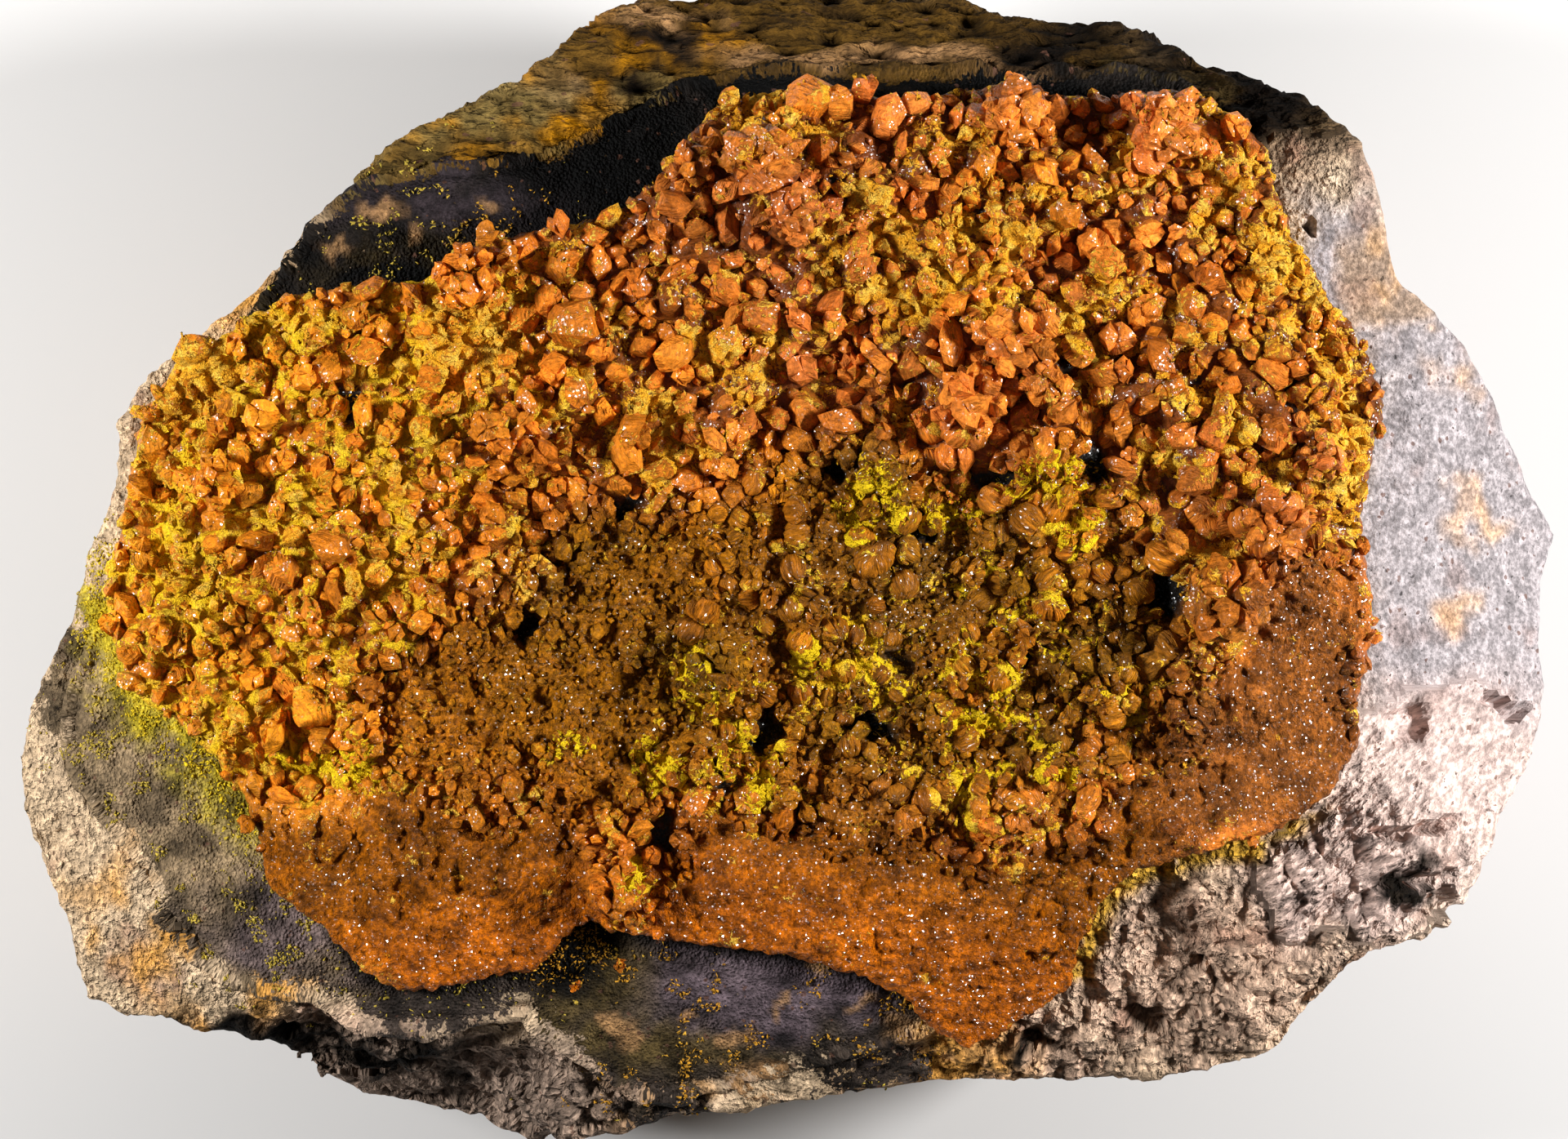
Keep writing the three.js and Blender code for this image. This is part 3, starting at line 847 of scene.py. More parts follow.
crust_low, crust_high = (np.array(corner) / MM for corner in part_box("francevillite_crust"))
cad_low, cad_high = (np.array(corner) / MM for corner in cad_box)
rng = np.random.default_rng(SEED)


def ball_field(xy):
    """Where separate balls stand on the low ground."""
    return ball_ground(xy) * (1 - druse(xy))


def coarseness(xy):
    """1 where the crystals are large and 0 where they are tiny."""
    skin = druse(xy, ragged=2.2, scale=4, edge=0.42)
    fine = fine_druse(xy, ragged=3, scale=4, edge=0.6)
    low = basin(xy, ragged=3, scale=5, edge=0.45)
    return 1 - np.max([skin, 0.62 * low, 0.85 * fine], axis=0)


def on_rosette(xy):
    """1 on a rosette and 0 away from them all."""
    places = np.array(ROSETTES)
    away = np.hypot(xy[:, :1] - places[:, 0], xy[:, 1:] - places[:, 1])
    return (1 - smooth(away / places[:, 2], 0.75, 1.15)).max(axis=1)


def crust_coat(xy, low_down):
    """How much yellow powder lies on the crust, how lemon it is, and how it sparkles.
    `low_down` is 1 between the crystals and 0 on their tips."""
    x = xy[:, 0]
    lemon, pale = lemon_pockets(xy), pale_patches(xy)
    gold, web = golden_lumps(xy), yellow_web(xy)
    low_ground = basin(xy)
    smooth_skin = np.maximum(druse(xy), fine_druse(xy))
    patchy = smooth(fractal(xy, 2.6, 4, 59), -0.2, 0.8)
    left = smooth(-x, 5, 32)
    rims = ball_field(xy) * low_down
    cover = 0.2 + 0.3 * patchy + 0.35 * web * low_down * (1 + low_ground)
    cover += 0.35 * gold + 0.45 * pale * (0.4 + 0.6 * low_down)
    cover = (cover + 0.14 * left * low_down) * (1 - 0.85 * smooth_skin) * (1 - 0.55 * low_ground)
    cover = (cover + 0.2 * rims * patchy) * (1 - 0.65 * on_rosette(xy) * (1 - low_down))
    cover = np.maximum(cover, lemon * (0.35 + 0.95 * low_down))
    lemonness = lemon + (0.45 * web + 0.3 * left) * low_down + 0.3 * rims
    lemonness = np.clip(lemonness + 0.3 * low_ground + 0.15 * pale - 0.5 * gold, 0, 1)
    fine = np.maximum(smooth_skin, 0.5 * low_ground) * (1 - 0.4 * smooth(x, 22, 28))
    return np.stack([cover, lemonness, 0.25 + 0.75 * fine], axis=1)


def crust_tint(xy):
    """The crystals' colour from place to place, with painted shade on some clusters and partly painted
    shade in the low basin.
    """
    x, y = xy.T
    patchy = 0.5 + 0.5 * fractal(xy, 6, 3, 61)
    tint = mix(ORANGE, RED_BROWN, 0.75 * patchy * smooth(x + 0.7 * y, -18, 8))
    tint = mix(tint, GOLDEN_ORANGE, 0.6 * smooth(-x, 15, 38))
    # Painted shade on the crystals of the deeply clustered parts.
    tint = tint * (1 - 0.24 * painted_cluster_shade(xy))[:, None]
    # The low basin is painted brown: partly the crust's own brown, partly painted shade where the light
    # falls off in the hollow.
    brown = mix(BASIN_BROWN_AND_SHADE, BASIN_OLIVE_AND_SHADE, patchy)
    tint = mix(tint, brown, 0.92 * basin(xy))
    tint = mix(tint, BASIN_BROWN_AND_SHADE, 0.6 * fine_druse(xy))
    lower = mix(DRUSE_ORANGE, TERRACOTTA, smooth(x, 20, 28))
    lower = mix(lower, DRUSE_BROWN, 0.85 * smooth(y + 0.25 * np.abs(x + 6), -22, -15))
    lower = lower * (1 + 0.4 * fractal(xy, 1.4, 4, 62))[:, None]
    return mix(tint, lower, druse(xy))


# ---- crystal crust: the bed

BED_VOXEL, BED_TRIANGLES = 0.29, 185000
CRUST_DEPTH = 30  # more than the crust is thick, in mm


def hidden_crust(points):
    """The underside, which lies on the rock."""
    return is_below(crust_over, points + (0, 0, 0.2), reach=CRUST_DEPTH)


def bed_relief(points, normals):
    """How far the bed stands out from the CAD crust, in mm. Crystals stand on its lumps."""
    xy = points[:, :2]
    top = smooth(normals[:, 2], 0.1, 0.6)
    from_edge = smooth(distance_to(crust_edge, points), 0.2, 2.5)
    coarse, skin = coarseness(xy), druse(xy)
    lumps = 0.62 - cells(warped(xy, 0.5, 2.5, 75), 3.8, 76)
    relief = coarse * (2.9 * lumps - 1.2) * (0.3 + 0.7 * from_edge)
    relief += 0.35 * fractal(points, 2.2, 4, 73) * (1 - 0.8 * skin)
    low = np.maximum(basin(xy), fine_druse(xy))
    relief += low * (1.1 * (0.5 - cells(xy, 2.3, 77)) + 0.5 * (0.5 - cells(xy, 0.95, 79)))
    mounded = mounds(xy)
    relief += mounded * (0.75 * domes(xy, 1.3, 71) - 0.45) * (0.3 + 0.7 * from_edge)
    relief += 0.2 * skin * domes(xy, 1.5, 78) * from_edge
    relief += (0.3 + 0.4 * np.maximum(mounded, 0.6 * skin)) * (0.5 - cells(points, 0.6, 72))
    relief = np.maximum(relief - 1.2 * voids(xy) * from_edge, -1.2)
    side = 0.25 * fractal(points, 1.6, 3, 74) + 0.5 * (0.5 - cells(points, 0.9, 80))
    return np.where(normals[:, 2] < -0.5, 0, relief * top + side * (1 - top))


def crust_bed():
    """The skin that the crystals stand on, with its tiny crystals, hollows and voids."""
    mesh = fine_mesh("francevillite_crust", BED_VOXEL, hidden_crust, BED_TRIANGLES)
    points, normals = points_of(mesh), normals_of(mesh)
    set_points(mesh, points + normals * bed_relief(points, normals)[:, None])
    return mesh


def round_their_feet(xy, centres, reaches):
    """1 on the ground just round the feet of the crystals, and 0 away from them."""
    tree = KDTree(len(centres))
    for k, (x, y, _) in enumerate(centres):
        tree.insert((x, y, 0), k)
    tree.balance()
    nearest = [tree.find((x, y, 0)) for x, y in xy]
    beyond = np.array([away - reaches[k] for _, k, away in nearest])
    return 1 - smooth(np.abs(beyond), 0.1, 0.55)


def colour_bed(mesh, centres, reaches):
    """The bed is painted with shade between large crystals and painted black as shadow in its voids, and
    powder gathers round the crystals' feet."""
    points = points_of(mesh)
    xy = points[:, :2]
    # The voids are painted black as painted shadow, and keep no powder.
    dark = voids(xy)
    # Painted shade: the bed between large crystals is darkened, less so towards the left.
    gaps = 0.8 * coarseness(xy) * (1 - 0.5 * smooth(-xy[:, 0], 10, 35))
    tint = mix(crust_tint(xy), GAP_SHADE, gaps)
    coat = crust_coat(xy, round_their_feet(xy, centres, reaches))
    coat[:, 0] *= 1 - dark
    set_attributes(mesh, {"tint": mix(tint, VOID_SHADOW, dark), "coat": coat, "local": points})


# ---- crystal crust: shapes of crystals

LEAVES, RINGS = 15, 5  # of a pleated ball


def hull(points):
    """A closed convex solid round some points."""
    shape = bmesh.new()
    for point in points:
        shape.verts.new(point)
    made = bmesh.ops.convex_hull(shape, input=shape.verts)
    loose = {v for v in made["geom_interior"] + made["geom_unused"] if isinstance(v, bmesh.types.BMVert)}
    bmesh.ops.delete(shape, geom=list(loose), context="VERTS")
    bmesh.ops.triangulate(shape, faces=shape.faces)
    bmesh.ops.recalc_face_normals(shape, faces=shape.faces)
    shape.verts.index_update()
    corners = np.array([v.co for v in shape.verts])
    faces = np.array([[v.index for v in f.verts] for f in shape.faces])
    shape.free()
    return corners, faces


def blade_shape(width, thickness):
    """One tablet: a leaf outline in its XZ plane, thickest along its middle."""
    around = np.radians((-70, -20, 25, 62, 90, 118, 155, 200)) + rng.uniform(-0.14, 0.14, 8)
    reach = rng.uniform(0.86, 1.06, 8)
    wavy = rng.uniform(-0.1, 0.1, 8)
    outline = np.stack([width * reach * np.cos(around), wavy, reach * np.sin(around)], axis=1)
    middle_line = (-0.1, -0.2), (0.15, 0.1), (-0.1, 0.5)
    belly = np.array([(width * x, side * thickness, z) for side in (-1, 1) for x, z in middle_line])
    return hull(np.vstack([outline, belly + rng.uniform(-0.09, 0.09, (6, 3)) * (1, 0.4, 1)]))


def bunch_shape(blades, spread, width, thickness):
    """Tablets grown from one foot and leaning out all round, like petals."""
    all_corners, all_faces = [], []
    count = 0
    turn = rng.uniform(0, 2 * math.pi)
    for k in range(blades):
        corners, faces = blade_shape(width, thickness)
        about = turn + 2 * math.pi * k / blades + rng.uniform(-0.35, 0.35)
        lean = spread * rng.uniform(0.5, 1.3)
        across = np.array([-math.sin(about), math.cos(about), 0])
        outwards = np.array([math.cos(about), math.sin(about), 0])
        out = math.sin(lean) * outwards + (0, 0, math.cos(lean))
        axes = np.stack([across, np.cross(out, across), out])
        all_corners.append((corners * rng.uniform(0.75, 1.1)) @ axes + 0.32 * out)
        all_faces.append(faces + count)
        count += len(corners)
    return 0.85 * np.vstack(all_corners), np.vstack(all_faces)


def bulged(corners, faces, bulge):
    """Each face cut in four, with its edges bowed outwards, as a grown crystal's are."""
    a, b, c = (corners[faces[:, k]] for k in range(3))
    face_normal = np.cross(b - a, c - a)
    face_normal /= np.linalg.norm(face_normal, axis=1, keepdims=True)
    outwards = {}
    for face, normal in zip(faces, face_normal):
        for i, j in zip(face, np.roll(face, -1)):
            key = (min(i, j), max(i, j))
            outwards[key] = outwards.get(key, 0) + normal
    extra = []
    middle = {}
    for (i, j), normal in outwards.items():
        length = np.linalg.norm(corners[i] - corners[j])
        middle[i, j] = middle[j, i] = len(corners) + len(extra)
        extra.append((corners[i] + corners[j]) / 2 + bulge * length * normal / np.linalg.norm(normal))
    finer = []
    for i, j, k in faces:
        ij, jk, ki = middle[i, j], middle[j, k], middle[k, i]
        finer += [(i, ij, ki), (ij, j, jk), (ki, jk, k), (ij, jk, ki)]
    return np.vstack([corners, extra]), np.array(finer)


def crystal_shape():
    """A thick lens of a crystal: a pointed outline, with its faces rising to a short ridge."""
    sides, width, ridge = rng.integers(5, 8), rng.uniform(0.55, 0.9), rng.uniform(0.05, 0.35)
    turn = np.arange(sides) * 2 * math.pi / sides + rng.uniform(-0.22, 0.22, sides)
    reach = rng.uniform(0.85, 1.05, sides)
    wavy = rng.uniform(-0.15, 0.2, sides)
    outline = np.stack([reach * np.cos(turn), width * reach * np.sin(turn), wavy], axis=1)
    tips = np.array([(-ridge, 0, 0.85), (ridge, 0, 0.8)]) + rng.uniform(-0.13, 0.13, (2, 3))
    foot = np.array([(-0.5, 0, -0.8), (0.5, 0, -0.8)])
    return bulged(*hull(np.vstack([outline, tips, foot])), bulge=0.025)


def ball_shape():
    """Lamellae fanned about a level spine along y, and grown together into a pleated ball."""
    count = 2 * LEAVES
    turn = np.arange(count) * math.pi / LEAVES + rng.uniform(-0.06, 0.06, count)
    groove = np.arange(count) % 2
    lumpy = 0.07 * np.sin(2 * turn + rng.uniform(0, 6)) + 0.06 * np.sin(3 * turn + rng.uniform(0, 6))
    reach = 1 + lumpy + rng.uniform(-0.05, 0.05, count) - groove * rng.uniform(0.02, 0.12, count)
    along = np.linspace(-1, 1, RINGS + 2)[1:-1] * 1.04
    round_off = np.sqrt(np.clip(1 - (0.93 * along) ** 2, 0, 1))
    ring = np.stack([reach * np.cos(turn), np.zeros(count), reach * np.sin(turn)], axis=1)
    skew = rng.uniform(-0.12, 0.12, (count, 1))
    rows = [ring * (r, 0, r) + (0, 1, 0) * (a + skew * r) for a, r in zip(along, round_off)]
    corners = np.vstack(rows + [[(0, -1, 0), (0, 1, 0)]])
    first, last = RINGS * count, RINGS * count + 1
    top = (RINGS - 1) * count
    steps = [(k, (k + 1) % count) for k in range(count)]
    faces = []
    for low in range(0, top, count):
        for a, b in steps:
            faces += [(low + a, low + b, low + b + count), (low + a, low + b + count, low + a + count)]
    for a, b in steps:
        faces += [(first, b, a), (last, top + a, top + b)]
    return corners * (1, 0.92, 0.9), np.array(faces)


def chip_shape(length, thickness):
    """A ragged flake of powder."""
    return hull(rng.uniform(-1, 1, (5, 3)) * (length, 0.6, thickness))


# ---- crystal crust: placing crystals

SKY = 90  # a height above everything, in mm
SMALL_SHARE = 0.75  # a small crystal's length for its spacing
TALLEST = 0.4  # how far a crystal may stand above the CAD crust, in mm
GOLDEN_TURN = 2.4  # radians between one crystal of a rosette and the next
CRYSTAL_TRIES, BALL_TRIES, SMALL_TRIES = 60000, 30000, 90000
POWDER_FLAKES = 60000


def turned(up, spin):
    """One rotation for each row, which sets +Z along `up` and spins about it."""
    up = up / np.linalg.norm(up, axis=1, keepdims=True)
    side = np.cross(up, np.where(np.abs(up[:, :1]) < 0.8, (1.0, 0, 0), (0, 1.0, 0)))
    side /= np.linalg.norm(side, axis=1, keepdims=True)
    other = np.cross(up, side)
    cos, sin = np.cos(spin)[:, None], np.sin(spin)[:, None]
    return np.stack([cos * side + sin * other, cos * other - sin * side, up], axis=2)


def copies(shapes, turns, sizes, centres):
    """Turned and sized copies of shapes picked at random, as one mesh's points and faces,
    with each point's owner and its place in its own shape."""
    which = rng.integers(0, len(shapes), len(centres))
    points, faces, owners, places = [], [], [], []
    count = 0
    for k, (corners, triangles) in enumerate(shapes):
        mine = np.flatnonzero(which == k)
        sized = corners[None] * sizes[mine][:, None, :]
        moved = np.einsum("nij,nkj->nki", turns[mine], sized) + centres[mine][:, None, :]
        start = count + np.arange(len(mine)) * len(corners)
        points.append(moved.reshape(-1, 3))
        faces.append((triangles[None] + start[:, None, None]).reshape(-1, 3))
        owners.append(np.repeat(mine, len(corners)))
        places.append(np.tile(corners, (len(mine), 1)))
        count += len(mine) * len(corners)
    return np.vstack(points), np.vstack(faces), np.concatenate(owners), np.vstack(places)


def scattered(count, spacing_at):
    """Random places on the crust, each apart from the others by the spacing there. Where the spacing
    is 0 there are none."""
    xy = rng.uniform(crust_low[:2], crust_high[:2], (count, 2))
    spacing = spacing_at(xy)
    reach = spacing.max()
    taken = {}
    kept = []
    for i, ((x, y), apart) in enumerate(zip(xy.tolist(), spacing.tolist())):
        if apart <= 0:
            continue
        column, row = int(x // reach), int(y // reach)
        near = [j for a in (-1, 0, 1) for b in (-1, 0, 1) for j in taken.get((column + a, row + b), ())]
        if all(math.hypot(x - u, y - v) > 0.5 * (apart + other) for u, v, other in near):
            taken.setdefault((column, row), []).append((x, y, apart))
            kept.append(i)
    return xy[kept], spacing[kept]


def on_surface(tree, xy):
    """The points and slopes of a surface at the places that lie on it, and which places those are."""
    found = [tree.ray_cast(Vector((x, y, SKY)), DOWN)[:2] for x, y in xy]
    on = np.array([point is not None for point, _ in found])
    points, slopes = zip(*[hit for hit in found if hit[0] is not None])
    return np.array(points), np.array(slopes), on


def leaning(slopes, spread, most_spin=2 * math.pi):
    """Rotations that stand things on a surface, each leaning and turned its own way."""
    return turned(slopes + rng.normal(0, spread, slopes.shape), rng.uniform(0, most_spin, len(slopes)))


def crystal_looks(centres, sizes, owners, places, leafy, extra_powder):
    """What the crystals' material reads at each point. Each crystal has its own tone and texture, and is
    painted darker towards its foot as painted shade.
    """
    xy = centres[:, :2]
    own_shade = rng.uniform(0.68, 1.18, len(xy))[:, None]
    own_turn = rng.uniform(-0.14, 0.14, len(xy))[:, None] * np.array([0.3, 1, 0.3])
    tint = mix(crust_tint(xy), ORANGE, 0.2 if leafy else 0) * own_shade * (1 + own_turn)
    tips = smooth(places[:, 2], -0.25, 0.45)
    low_coat, tip_coat = crust_coat(xy, np.ones(len(xy))), crust_coat(xy, np.zeros(len(xy)))
    coat = mix(low_coat[owners], tip_coat[owners], tips)
    rim = smooth(np.linalg.norm(places[:, :2], axis=1), 0.7, 1.0)
    bare = 0.2 * smooth(sizes.mean(axis=1), 1.0, 1.6)[owners]
    coat[:, 0] = np.clip(0.9 * coat[:, 0] + 0.35 * rim + extra_powder - bare, 0, 1)
    local = places
    if leafy:
        x, y, z = places.T
        local = np.stack([0.4 * x, 0.4 * y, 1.2 * np.arctan2(z, x)], axis=1)
    local = local * sizes[owners].mean(axis=1)[:, None] + rng.uniform(0, 60, (len(xy), 3))[owners]
    # Painted shade: each crystal is darker towards its foot, where it stands among the others.
    return {"tint": tint[owners] * (0.7 + 0.3 * tips)[:, None], "coat": coat, "local": local}


def crust_piece(
    name, shapes, turns, sizes, centres, sharp=180, leafy=False, extra_powder=0.0, replaced=()
):
    """A piece made of many crystals, and its points and faces."""
    points, faces, owners, places = copies(shapes, turns, sizes, centres)
    mesh = mesh_from(name, points, faces)
    mesh.shade_smooth()
    mesh.set_sharp_from_angle(angle=math.radians(sharp))
    set_attributes(mesh, crystal_looks(centres, sizes, owners, places, leafy, extra_powder))
    new_piece(name, mesh, crystal, replaced)
    return points, faces


def kept_low(centres, reach):
    """Lowers the crystals that would stand too far above the crust's highest place."""
    over = centres[:, 2] + 0.8 * reach - crust_high[2] - TALLEST
    return centres - np.maximum(over, 0)[:, None] * (0, 0, 1)


def crystal_spacing(xy):
    coarse = coarseness(xy)
    patchy = 1.25 + 0.45 * fractal(xy, 5, 2, 81)
    kept = (coarse > 0.4) & (voids(xy) < 0.3) & (on_rosette(xy) < 0.5)
    return np.where(kept, patchy * (0.35 + 0.85 * coarse), 0)


def small_spacing(xy):
    coarse = coarseness(xy)
    kept = (coarse > 0.3) & (voids(xy) < 0.3) & (ball_field(xy) < 0.4)
    return np.where(kept, 0.6 + 0.26 * coarse, 0)


def ball_spacing(xy):
    kept = (voids(xy) < 0.25) & (ball_field(xy) > 0.35)
    clusters = noise(xy, 3.2, 85) > -0.25
    return np.where(kept & clusters, 1.3 + 0.35 * noise(xy, 3, 82), 0)


def grain_spacing(xy):
    fine = np.maximum(basin(xy), fine_druse(xy))
    return np.where((fine > 0.3) & (voids(xy) < 0.4), 0.46 + 0.1 * noise(xy, 2, 84), 0)


def placed(bed, tries, spacing_at):
    """Scattered places on the bed, with the slope and the spacing at each."""
    xy, spacing = scattered(tries, spacing_at)
    points, slopes, on = on_surface(bed, xy)
    return points, slopes, spacing[on]


def large_crystals(bed):
    """The crystals of the coarse parts and of the rosettes."""
    points, slopes, spacing = placed(bed, CRYSTAL_TRIES, crystal_spacing)
    length = spacing * 0.78 * rng.triangular(0.7, 0.9, 1.6, len(points))
    up = slopes + rng.normal(0, 0.45, points.shape) * (1, 1, 0.2)
    up[:, 2] = np.maximum(up[:, 2], 0.8)
    more_points, more_up, more_length = rosette_crystals(bed)
    points, up = np.vstack([points, more_points]), np.vstack([up, more_up])
    length = np.concatenate([length, more_length])
    at_edge = 1 - smooth(distance_to(crust_edge, points), 0.3, 2)
    length *= 1 - 0.45 * smooth(points[:, 0], 29, 33) * at_edge
    turns = turned(up, rng.uniform(0, 2 * math.pi, len(points)))
    sizes = length[:, None] * rng.uniform((0.9, 0.8, 0.75), (1.1, 1.1, 1.15), (len(points), 3))
    shapes = [crystal_shape() for _ in range(16)]
    shapes += [bunch_shape(2, 0.4, rng.uniform(0.75, 0.95), 0.5) for _ in range(8)]
    shapes += [bunch_shape(3, 0.5, rng.uniform(0.7, 0.9), 0.48) for _ in range(6)]
    centres = kept_low(points + turns[:, :, 2] * 0.22 * length[:, None], length)
    made = crust_piece("crust_crystals", shapes, turns, sizes, centres, sharp=22)
    return made, centres, length


def small_crystals(bed, name, spacing_at):
    """Tablets that fill the gaps between the crystals, or cover the fine-grained ground."""
    points, slopes, spacing = placed(bed, SMALL_TRIES, spacing_at)
    turns = leaning(slopes, 0.7)
    length = SMALL_SHARE * spacing * rng.uniform(0.65, 1.35, len(points))
    sizes = length[:, None] * rng.uniform(0.8, 1.15, (len(points), 3))
    centres = kept_low(points + slopes * 0.05 * length[:, None], length)
    shapes = [blade_shape(rng.uniform(0.6, 0.9), rng.uniform(0.4, 0.6)) for _ in range(24)]
    return crust_piece(name, shapes, turns, sizes, centres, sharp=26, extra_powder=0.1)


def balls(bed):
    """Pleated balls and round bunches, sunk deeper the smoother the skin is round them."""
    points, slopes, spacing = placed(bed, BALL_TRIES, ball_spacing)
    radius = spacing * rng.uniform(0.52, 0.88, len(points))
    turns = leaning(slopes, 0.25)
    sizes = radius[:, None] * rng.uniform(0.88, 1.12, (len(points), 3))
    sunk = 0.5 * druse(points[:, :2]) + 0.05
    centres = kept_low(points - slopes * (sunk * radius)[:, None], radius)
    shapes = [ball_shape() for _ in range(9)] + [bunch_shape(5, 0.9, 0.6, 0.3) for _ in range(5)]
    made = crust_piece("crust_balls", shapes, turns, sizes, centres, sharp=50, leafy=True)
    return made, centres, radius


def rosette_crystals(bed):
    """The places, directions and lengths of crystals that radiate from each rosette's middle."""
    places, ups, lengths = [], [], []
    for x, y, radius in ROSETTES:
        foot = bed.ray_cast(Vector((x, y, SKY)), DOWN)[0]
        count = int(5 + 3 * radius)
        spread = np.radians(78) * np.sqrt((np.arange(count) + 0.4) / count)
        turn = np.arange(count) * GOLDEN_TURN + rng.uniform(0, 6)
        flat = np.sin(spread)
        up = np.stack([flat * np.cos(turn), flat * np.sin(turn), np.cos(spread)], axis=1)
        sunk = 0.1 + 0.35 * (1 - coarseness(np.array([(x, y)])))
        places.append(np.array(foot) + radius * (up * (0.5, 0.5, 0.42) - sunk * (0, 0, 1)))
        ups.append(up + rng.normal(0, 0.15, up.shape))
        lengths.append(radius * rng.uniform(0.46, 0.62, count))
    return np.vstack(places), np.vstack(ups), np.concatenate(lengths)


def powder(surface):
    """Ragged flakes of yellow powder, thickest in the crust's golden parts."""
    xy = rng.uniform(crust_low[:2], crust_high[:2], (POWDER_FLAKES, 2))
    cover = crust_coat(xy, np.full(len(xy), 0.5))[:, 0] + 0.25 * fractal(xy, 2.2, 3, 91)
    xy = xy[rng.uniform(0, 1, len(xy)) < smooth(cover, 0.3, 1.0)]
    points, slopes, _ = on_surface(surface, xy)
    turns = leaning(slopes, 0.7)
    sizes = rng.uniform(0.12, 0.34, (len(points), 1)) * rng.uniform(0.7, 1.2, (len(points), 3))
    shapes = [chip_shape(rng.uniform(0.8, 1.8), rng.uniform(0.2, 0.5)) for _ in range(24)]
    crust_piece("crust_powder", shapes, turns, sizes, points, extra_powder=0.45)


# ---- loose dust and nuggets

mossy_notch = zone([(-12.8, -25.2, 2.2, 2.4)], ragged=1, scale=2, seed=102)
dust_patches = zone([
    (-25, 20.2, 8, 1.6), (-22, 24, 8, 3), (-33, -23, 6, 5), (-13.5, -25, 3, 4), (-3, -27.5, 9, 5),
    (6, -28.5, 7, 4), (-10, -34, 6, 2.5), (10.5, -29.5, 3, 2.5), (-35, 16, 4, 3),
], ragged=2, seed=94)

DUST_YELLOW = rgb(196, 168, 28)
DUST_OLIVE = rgb(180, 156, 60)
DUST_GOLD = rgb(190, 130, 34)
DUST_TRIES = 400000
NUGGET_CRYSTALS = 5


def dust_on_ground(surface):
    """Loose grains of yellow dust on the seam and the rock, thick beside the crust's left edge."""
    xy = rng.uniform(cad_low[:2], cad_high[:2], (DUST_TRIES, 2))
    points, slopes, on = on_surface(surface, xy)
    xy = xy[on]
    beside = sulphur_side(xy) + 0.2 * smooth(-xy[:, 0], 10, 14) * smooth(-xy[:, 1], 15, 20)
    near = (1 - smooth(distance_to(crust_edge, points), 0.2, 6)) ** 2
    clumps = smooth(fractal(xy, 1.4, 3, 92), -0.1, 0.7)
    spotty = smooth(fractal(xy, 1.1, 3, 93), 0.4, 0.8)
    flecked = dust_patches(xy)
    chance = beside * near * (0.35 + 0.65 * clumps) + 0.5 * flecked * spotty
    chance += 1.2 * spotty * dusty_seam(xy, seed=95)
    chance += 0.8 * clumps * mossy_notch(xy)
    kept = rng.uniform(0, 1, len(xy)) < chance
    points, slopes, near, flecked = points[kept], slopes[kept], (beside * near)[kept], flecked[kept]
    sizes = rng.uniform(0.1, 0.28, (len(points), 1)) * rng.uniform(0.6, 1.3, (len(points), 3))
    turns = leaning(slopes, 0.8, most_spin=6)
    corners, faces, owners, _ = copies([chip_shape(1, 0.6) for _ in range(24)], turns, sizes, points)
    tint = mix(DUST_OLIVE, DUST_YELLOW, smooth(near, 0.1, 0.6))
    tint = mix(tint, DUST_GOLD, 0.8 * smooth(flecked, 0.2, 0.8) * smooth(points[:, 0], -24, -18))
    tint = tint * rng.uniform(0.7, 1.15, (len(points), 1))
    mesh = mesh_from("ground_dust", corners, faces)
    set_attributes(mesh, {"tint": tint[owners], "local": corners})
    new_piece("ground_dust", mesh, dust_material())


def nugget(cad_node):
    """A crumb of crust: a few bunches grown together in the CAD nugget's place."""
    low, high = (np.array(corner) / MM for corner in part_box(cad_node))
    middle, half = (low + high) / 2, (high - low) / 2
    count = NUGGET_CRYSTALS
    centres = middle + rng.uniform(-0.45, 0.45, (count, 3)) * half
    turns = turned(rng.normal(0, 0.5, (count, 3)) + (0, 0, 1), rng.uniform(0, 6, count))
    sizes = half.min() * rng.uniform(0.65, 0.85, (count, 3))
    shapes = [bunch_shape(3, 0.8, 0.6, 0.25) for _ in range(4)]
    name = cad_node.removeprefix("crust_")
    crust_piece(name, shapes, turns, sizes, centres, sharp=26, replaced=[cad_node])


def joined(*meshes):
    """One search tree of several meshes, given as their points and faces."""
    starts = np.cumsum([0] + [len(points) for points, _ in meshes])
    faces = [faces + start for (_, faces), start in zip(meshes, starts)]
    return tree_of(np.vstack([points for points, _ in meshes]), np.vstack(faces))


def crust():
    """The bed, everything that grows on it, and the powder over it all."""
    bed = crust_bed()
    bare_bed = points_of(bed), triangles_of(bed)
    tree = tree_of(*bare_bed)
    big, crystal_centres, crystal_lengths = large_crystals(tree)
    round_ones, ball_centres, ball_radii = balls(tree)
    small = small_crystals(tree, "crust_small_crystals", small_spacing)
    small_crystals(tree, "crust_grains", grain_spacing)
    centres = np.vstack([crystal_centres, ball_centres])
    colour_bed(bed, centres, np.concatenate([0.8 * crystal_lengths, ball_radii]))
    new_piece("crust_bed", bed, crystal, ["francevillite_crust"])
    powder(joined(bare_bed, big, round_ones, small))


# ---- stage, light and camera

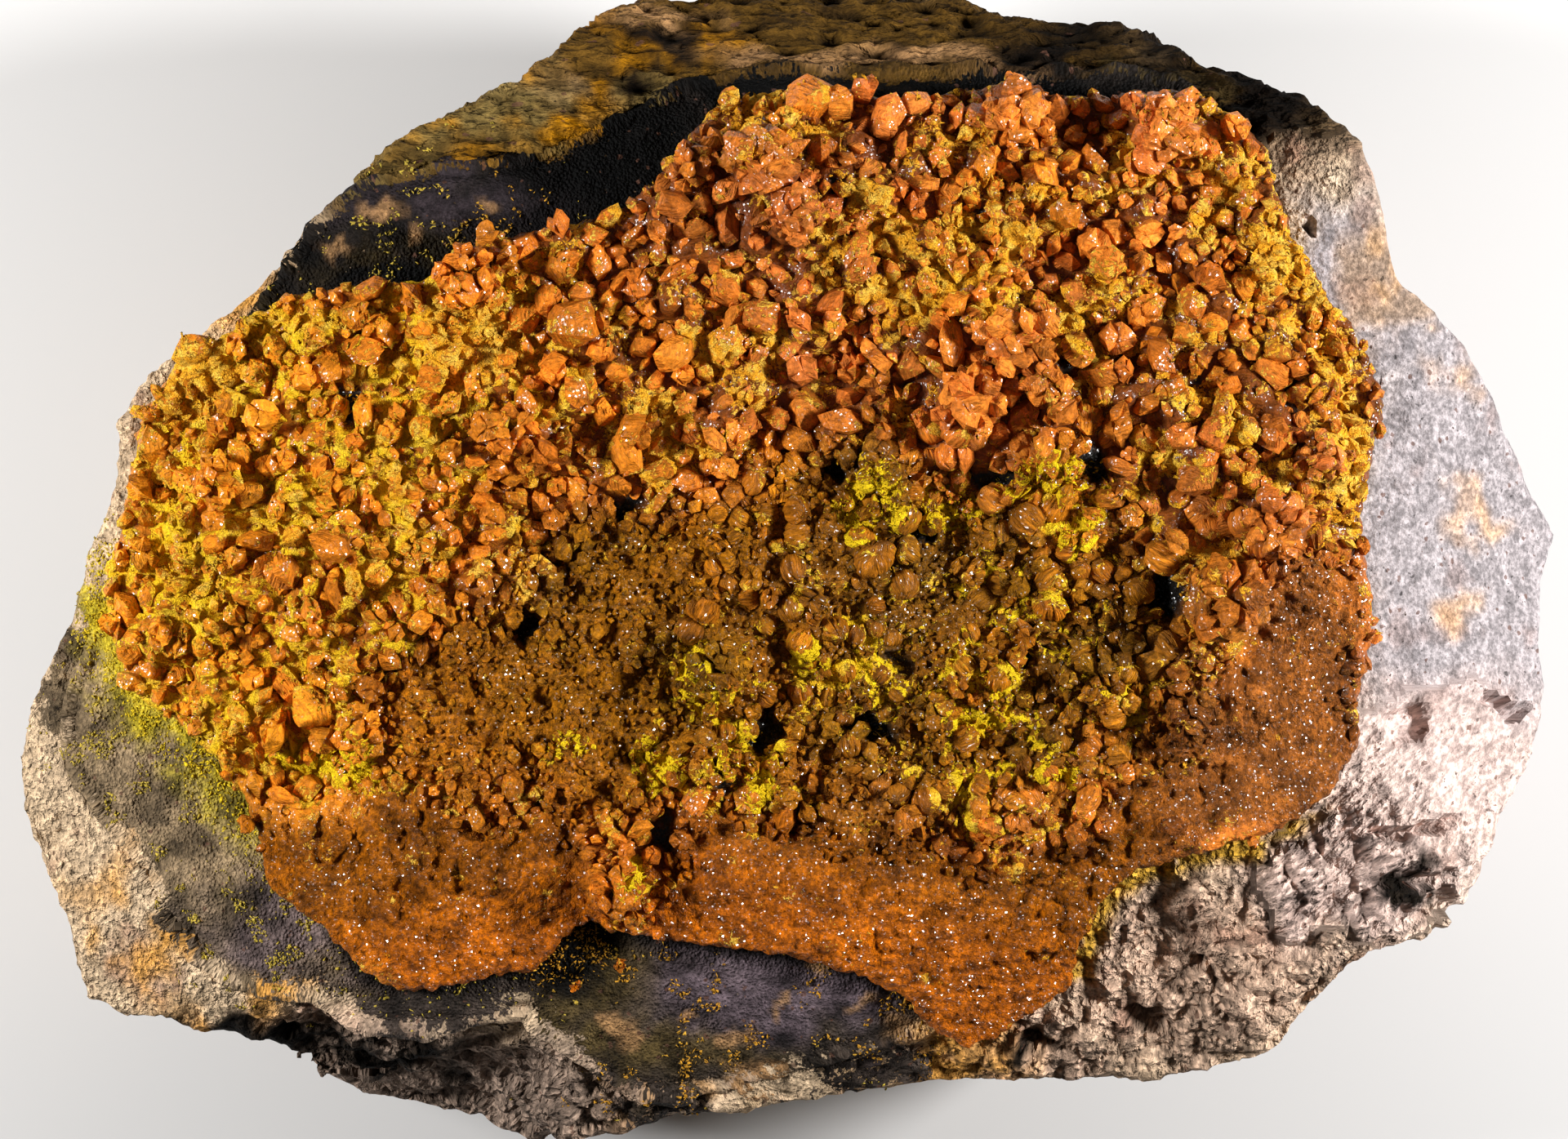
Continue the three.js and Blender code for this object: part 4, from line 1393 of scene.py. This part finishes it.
FLOOR_SIDE = 2.0
FLOOR_GREY = (0.62, 0.61, 0.6, 1)
LIGHTS = {"right_light": ((0.25, 0.03, 0.165), 1.54), "left_light": ((-0.23, 0.02, 0.16), 1.04)}
LIGHT_WIDTH = 0.06
LIGHT_AIM = (0, 0, 0.03)
ROOM_GLOW = 0.07
CAMERA_PLACE = (0, -0.0003, 0.6)
CAMERA_LENS = 202


def floor():
    half = FLOOR_SIDE / 2 / MM
    corners = np.array([(-half, -half, 0), (half, -half, 0), (half, half, 0), (-half, half, 0)])
    mesh = mesh_from("floor", corners, np.array([[0, 1, 2, 3]]))
    made = bpy.data.objects.new("floor", mesh)
    bpy.context.scene.collection.objects.link(made)
    material, tree = empty_material("pale_floor")
    finish_material(tree, {"Base Color": FLOOR_GREY, "Roughness": 0.9})
    mesh.materials.append(material)


def soft_light(name, place, watts):
    light = bpy.data.lights.new(name, "AREA")
    light.shape = "DISK"
    light.size = LIGHT_WIDTH
    light.energy = watts
    lamp = bpy.data.objects.new(name, light)
    lamp.location = place
    lamp.rotation_euler = (Vector(LIGHT_AIM) - Vector(place)).to_track_quat("-Z", "Y").to_euler()
    lamp.visible_camera = False
    bpy.context.scene.collection.objects.link(lamp)


def camera():
    made = bpy.data.objects.new("camera", bpy.data.cameras.new("camera"))
    made.data.lens = CAMERA_LENS
    made.data.clip_start = 0.01
    made.location = CAMERA_PLACE
    bpy.context.scene.collection.objects.link(made)
    bpy.context.scene.camera = made


def room_light():
    world = bpy.data.worlds.new("soft_room")
    world.use_nodes = True
    background = world.node_tree.nodes["Background"]
    background.inputs["Color"].default_value = (1, 1, 1, 1)
    background.inputs["Strength"].default_value = ROOM_GLOW
    bpy.context.scene.world = world


# ---- the specimen

crystal = crystal_material()
rock, dark = sandstone(), seam()
crust()
dust_on_ground(joined((points_of(rock), triangles_of(rock)), (points_of(dark), triangles_of(dark))))
for crumb in ("crust_nugget_left", "crust_nugget_right"):
    nugget(crumb)
floor()
room_light()
for lamp, (place, watts) in LIGHTS.items():
    soft_light(lamp, place, watts)
camera()
bpy.context.scene.view_settings.view_transform = "Standard"
